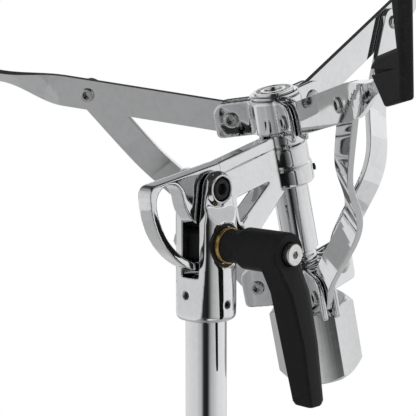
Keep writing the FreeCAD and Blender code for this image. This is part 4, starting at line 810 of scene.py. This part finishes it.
@dataclass(frozen=True)
class Surround:
    """Boards round the set that only reflections see, shaded by their azimuth about the tube."""

    name: str
    low: tuple[float, float]
    high: tuple[float, float]
    shades: tuple[tuple[float, float], ...]
    facets: int = 96

    def build(self) -> None:
        """Sets up a ring of boards between two rims of (radius, height), or a disc if the rims are one."""
        form = bmesh.new()
        radius, height = self.low
        flat = self.high == self.low
        bmesh.ops.create_circle(form, cap_ends=flat, radius=radius, segments=self.facets)
        bmesh.ops.translate(form, vec=(0.0, 0.0, height), verts=form.verts)
        if not flat:
            raised = bmesh.ops.extrude_edge_only(form, edges=form.edges[:])
            top = [part for part in raised["geom"] if isinstance(part, bmesh.types.BMVert)]
            share = self.high[0] / radius
            bmesh.ops.scale(form, vec=(share, share, 1.0), verts=top)
            bmesh.ops.translate(form, vec=(0.0, 0.0, self.high[1] - height), verts=top)
        mesh = bpy.data.meshes.new(self.name)
        form.to_mesh(mesh)
        form.free()
        mesh.materials.append(self._material())
        board = bpy.data.objects.new(self.name, mesh)
        bpy.context.scene.collection.objects.link(board)
        board.visible_camera = False
        board.visible_diffuse = False
        board.visible_shadow = False

    def _material(self) -> bpy.types.Material:
        """Returns a plain glow whose shade follows the azimuth."""
        material = bpy.data.materials.new(self.name)
        material.use_nodes = True
        tree = material.node_tree
        tree.nodes.clear()
        place = add_node(tree, "ShaderNodeTexCoord")
        around = add_node(tree, "ShaderNodeTexGradient", gradient_type="RADIAL")
        ramp = add_node(tree, "ShaderNodeValToRGB")
        stops = sorted(((azimuth + 180.0) % 360.0 / 360.0, shade) for azimuth, shade in self.shades)
        elements = ramp.color_ramp.elements
        while len(elements) < len(stops):
            elements.new(0.5)
        for element, (position, shade) in zip(elements, stops):
            element.position = position
            element.color = opaque((shade,) * 3)
        glow = add_node(tree, "ShaderNodeEmission", Strength=1.0)
        output = add_node(tree, "ShaderNodeOutputMaterial")
        tree.links.new(place.outputs["Object"], around.inputs["Vector"])
        tree.links.new(around.outputs["Fac"], ramp.inputs["Fac"])
        tree.links.new(ramp.outputs["Color"], glow.inputs["Color"])
        tree.links.new(glow.outputs[0], output.inputs["Surface"])
        return material


@dataclass(frozen=True)
class Lamp:
    """A soft square lamp: where it hangs, its side in metres and its power in watts."""

    name: str
    place: tuple[float, float, float]
    size: float
    power: float

    def hang(self, aim: Vector) -> None:
        """Hangs the lamp and turns it to face a point.

        Args:
            aim: The point that it faces.
        """
        light = bpy.data.lights.new(self.name, "AREA")
        light.shape = "SQUARE"
        light.size = self.size
        light.energy = self.power
        lamp = bpy.data.objects.new(self.name, light)
        lamp.location = self.place
        lamp.rotation_euler = (aim - Vector(self.place)).to_track_quat("-Z", "Y").to_euler()
        bpy.context.scene.collection.objects.link(lamp)


@dataclass
class Studio:
    """Floor, lamps, boards, white surroundings and the camera."""

    floor_half: float = 6.0
    floor_shade: float = 0.9
    glow_near: float = 0.5
    near_reach: float = 0.45
    far_reach: float = 1.2
    ambient: float = 0.55
    aim: Vector = field(default_factory=lambda: Vector((0.0006, -0.0006, 0.4607)))
    eye: Vector = field(default_factory=lambda: Vector((-0.4201, -0.4195, 0.5332)))
    lens: float = 114.4
    sensor: float = 36.0
    nearest: float = 0.01
    farthest: float = 30.0
    lamps: tuple[Lamp, ...] = (
        Lamp("key_lamp", (-1.3, -0.5, 1.7), 1.1, 11.0),
        Lamp("fill_lamp", (0.9, -1.5, 1.2), 1.3, 9.0),
        Lamp("top_lamp", (0.2, 0.6, 2.0), 1.4, 9.0),
    )
    surrounds: tuple[Surround, ...] = (
        Surround("board_inner_table", (0.28, 0.004), (0.28, 0.004), (
            (0.0, 0.55), (72.0, 0.70), (153.0, 0.50), (206.0, 0.37), (225.0, 0.25), (250.0, 0.30), (333.0, 0.53),
        )),
        Surround("board_apron", (0.8, 0.002), (1.2, 0.002), (
            (0.0, 0.85), (57.0, 0.72), (91.0, 0.64), (121.0, 0.60), (150.0, 0.52), (183.0, 0.45), (194.0, 0.43),
            (202.0, 0.36), (208.0, 0.20), (215.0, 0.05), (233.0, 0.06), (240.0, 0.14), (250.0, 0.24),
            (262.0, 0.42), (280.0, 0.64), (300.0, 0.78), (321.0, 0.80), (345.0, 0.88),
        )),
        Surround("board_table", (0.8, 0.002), (0.8, 0.002), (
            (0.0, 0.60), (57.0, 0.62), (72.0, 0.72), (91.0, 0.58), (121.0, 0.56), (150.0, 0.48), (183.0, 0.40),
            (194.0, 0.42), (202.0, 0.36), (208.0, 0.22), (215.0, 0.06), (222.0, 0.04), (227.0, 0.12),
            (233.0, 0.55), (240.0, 0.90), (252.0, 0.80), (264.0, 0.66), (280.0, 0.52), (321.0, 0.56),
        )),
        Surround("board_low_wall", (1.2, 0.002), (1.3, 0.25), (
            (0.0, 1.0), (25.0, 0.75), (36.0, 0.70), (40.0, 0.12), (50.0, 0.12), (54.0, 0.90), (75.0, 0.84),
            (95.0, 0.94), (134.0, 0.89), (175.0, 0.82), (190.0, 0.68), (199.0, 0.54), (207.0, 0.16), (212.0, 0.03),
            (231.0, 0.015), (237.0, 0.08), (244.0, 0.35), (253.0, 0.56), (277.0, 0.76), (296.0, 0.94), (345.0, 1.02),
        )),
        Surround("board_high_wall", (1.3, 0.25), (1.3, 0.75), (
            (0.0, 1.02), (25.0, 0.75), (36.0, 0.70), (40.0, 0.12), (50.0, 0.12), (54.0, 0.90), (66.0, 0.70),
            (74.0, 0.36), (108.0, 0.38), (118.0, 0.80), (134.0, 0.82), (175.0, 0.76), (190.0, 0.62), (199.0, 0.45),
            (207.0, 0.10), (212.0, 0.02), (233.0, 0.015), (240.0, 0.12), (253.0, 0.50), (277.0, 0.72), (296.0, 0.86),
            (320.0, 0.96),
        )),
        Surround("board_cove", (1.3, 0.75), (1.15, 1.05), (
            (0.0, 1.1), (47.0, 1.0), (90.0, 0.8), (138.0, 0.70), (185.0, 0.5), (205.0, 0.06), (235.0, 0.04),
            (255.0, 0.4), (285.0, 0.8), (340.0, 1.12),
        )),
        Surround("board_gap", (1.15, 1.05), (0.95, 1.35), (
            (0.0, 0.4), (30.0, 0.06), (62.0, 0.06), (88.0, 0.1), (112.0, 0.4), (138.0, 0.6), (180.0, 0.35),
            (207.0, 0.04), (240.0, 0.04), (262.0, 0.4), (300.0, 0.7), (335.0, 0.7),
        )),
        Surround("board_ceiling", (0.95, 1.35), (0.05, 1.6), (
            (0.0, 0.05), (90.0, 0.04), (180.0, 0.03), (270.0, 0.04),
        )),
    )

    def build(self) -> None:
        """Sets up everything round the object."""
        self._floor()
        self._world()
        for surround in self.surrounds:
            surround.build()
        for lamp in self.lamps:
            lamp.hang(self.aim)
        self._camera()

    def _white_for_views(self, tree: Any) -> Any:
        """Adds a mask that is one for camera, mirror and glass rays.

        Args:
            tree: The node tree to extend.

        Returns:
            The mask's output socket.
        """
        path = add_node(tree, "ShaderNodeLightPath")
        first = add_node(tree, "ShaderNodeMath", operation="MAXIMUM")
        second = add_node(tree, "ShaderNodeMath", operation="MAXIMUM")
        tree.links.new(path.outputs["Is Camera Ray"], first.inputs[0])
        tree.links.new(path.outputs["Is Glossy Ray"], first.inputs[1])
        tree.links.new(first.outputs[0], second.inputs[0])
        tree.links.new(path.outputs["Is Transmission Ray"], second.inputs[1])
        return second.outputs[0]

    def _floor(self) -> None:
        """Lays the pale floor, which glows white to views and still takes shadows."""
        form = bmesh.new()
        bmesh.ops.create_grid(form, x_segments=1, y_segments=1, size=self.floor_half)
        mesh = bpy.data.meshes.new("floor")
        form.to_mesh(mesh)
        form.free()
        floor = bpy.data.objects.new("floor", mesh)
        bpy.context.scene.collection.objects.link(floor)
        material = bpy.data.materials.new("pale_floor")
        material.use_nodes = True
        tree = material.node_tree
        tree.nodes.clear()
        output = add_node(tree, "ShaderNodeOutputMaterial")
        matt = add_node(tree, "ShaderNodeBsdfDiffuse", Color=opaque((self.floor_shade,) * 3))
        glow = add_node(tree, "ShaderNodeEmission", Color=opaque((1.0, 1.0, 1.0)), Strength=1.0)
        place = add_node(tree, "ShaderNodeTexCoord")
        reach = add_node(tree, "ShaderNodeVectorMath", operation="LENGTH")
        whiter = add_node(tree, "ShaderNodeMapRange", From_Min=self.near_reach, From_Max=self.far_reach,
                          To_Min=self.glow_near, To_Max=1.0)
        share = add_node(tree, "ShaderNodeMath", operation="MULTIPLY")
        mix = add_node(tree, "ShaderNodeMixShader")
        tree.links.new(place.outputs["Object"], reach.inputs[0])
        tree.links.new(reach.outputs["Value"], whiter.inputs["Value"])
        tree.links.new(self._white_for_views(tree), share.inputs[0])
        tree.links.new(whiter.outputs[0], share.inputs[1])
        tree.links.new(share.outputs[0], mix.inputs["Fac"])
        tree.links.new(matt.outputs[0], mix.inputs[1])
        tree.links.new(glow.outputs[0], mix.inputs[2])
        tree.links.new(mix.outputs[0], output.inputs["Surface"])
        mesh.materials.append(material)

    def _world(self) -> None:
        """Makes white surroundings with a plain level of light."""
        world = bpy.data.worlds.new("studio")
        world.use_nodes = True
        bpy.context.scene.world = world
        tree = world.node_tree
        tree.nodes.clear()
        output = add_node(tree, "ShaderNodeOutputWorld")
        back = add_node(tree, "ShaderNodeBackground", Color=opaque((1.0, 1.0, 1.0)))
        level = add_node(tree, "ShaderNodeMapRange", To_Min=self.ambient, To_Max=1.0)
        tree.links.new(self._white_for_views(tree), level.inputs["Value"])
        tree.links.new(level.outputs[0], back.inputs["Strength"])
        tree.links.new(back.outputs[0], output.inputs["Surface"])

    def _camera(self) -> None:
        """Sets the camera at the photograph's view."""
        data = bpy.data.cameras.new("camera")
        data.lens = self.lens
        data.sensor_width = self.sensor
        data.clip_start = self.nearest
        data.clip_end = self.farthest
        camera = bpy.data.objects.new("camera", data)
        camera.location = self.eye
        camera.rotation_euler = (self.aim - self.eye).to_track_quat("-Z", "Y").to_euler()
        bpy.context.scene.collection.objects.link(camera)
        bpy.context.scene.camera = camera
        bpy.context.scene.view_settings.view_transform = "Standard"


def main() -> None:
    """Loads the frame, builds the looks of every sub-assembly and sets up the studio."""
    logging.basicConfig(level=logging.INFO, format="%(name)s: %(message)s")
    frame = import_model()
    wardrobe = Wardrobe()
    for assembly in (HeightTube, ClampLever, Tilter, Basket, Base):
        assembly(frame, wardrobe).build()
        LOG.info("built %s", assembly.__name__)
    Studio().build()


if __name__ == "__main__":
    main()
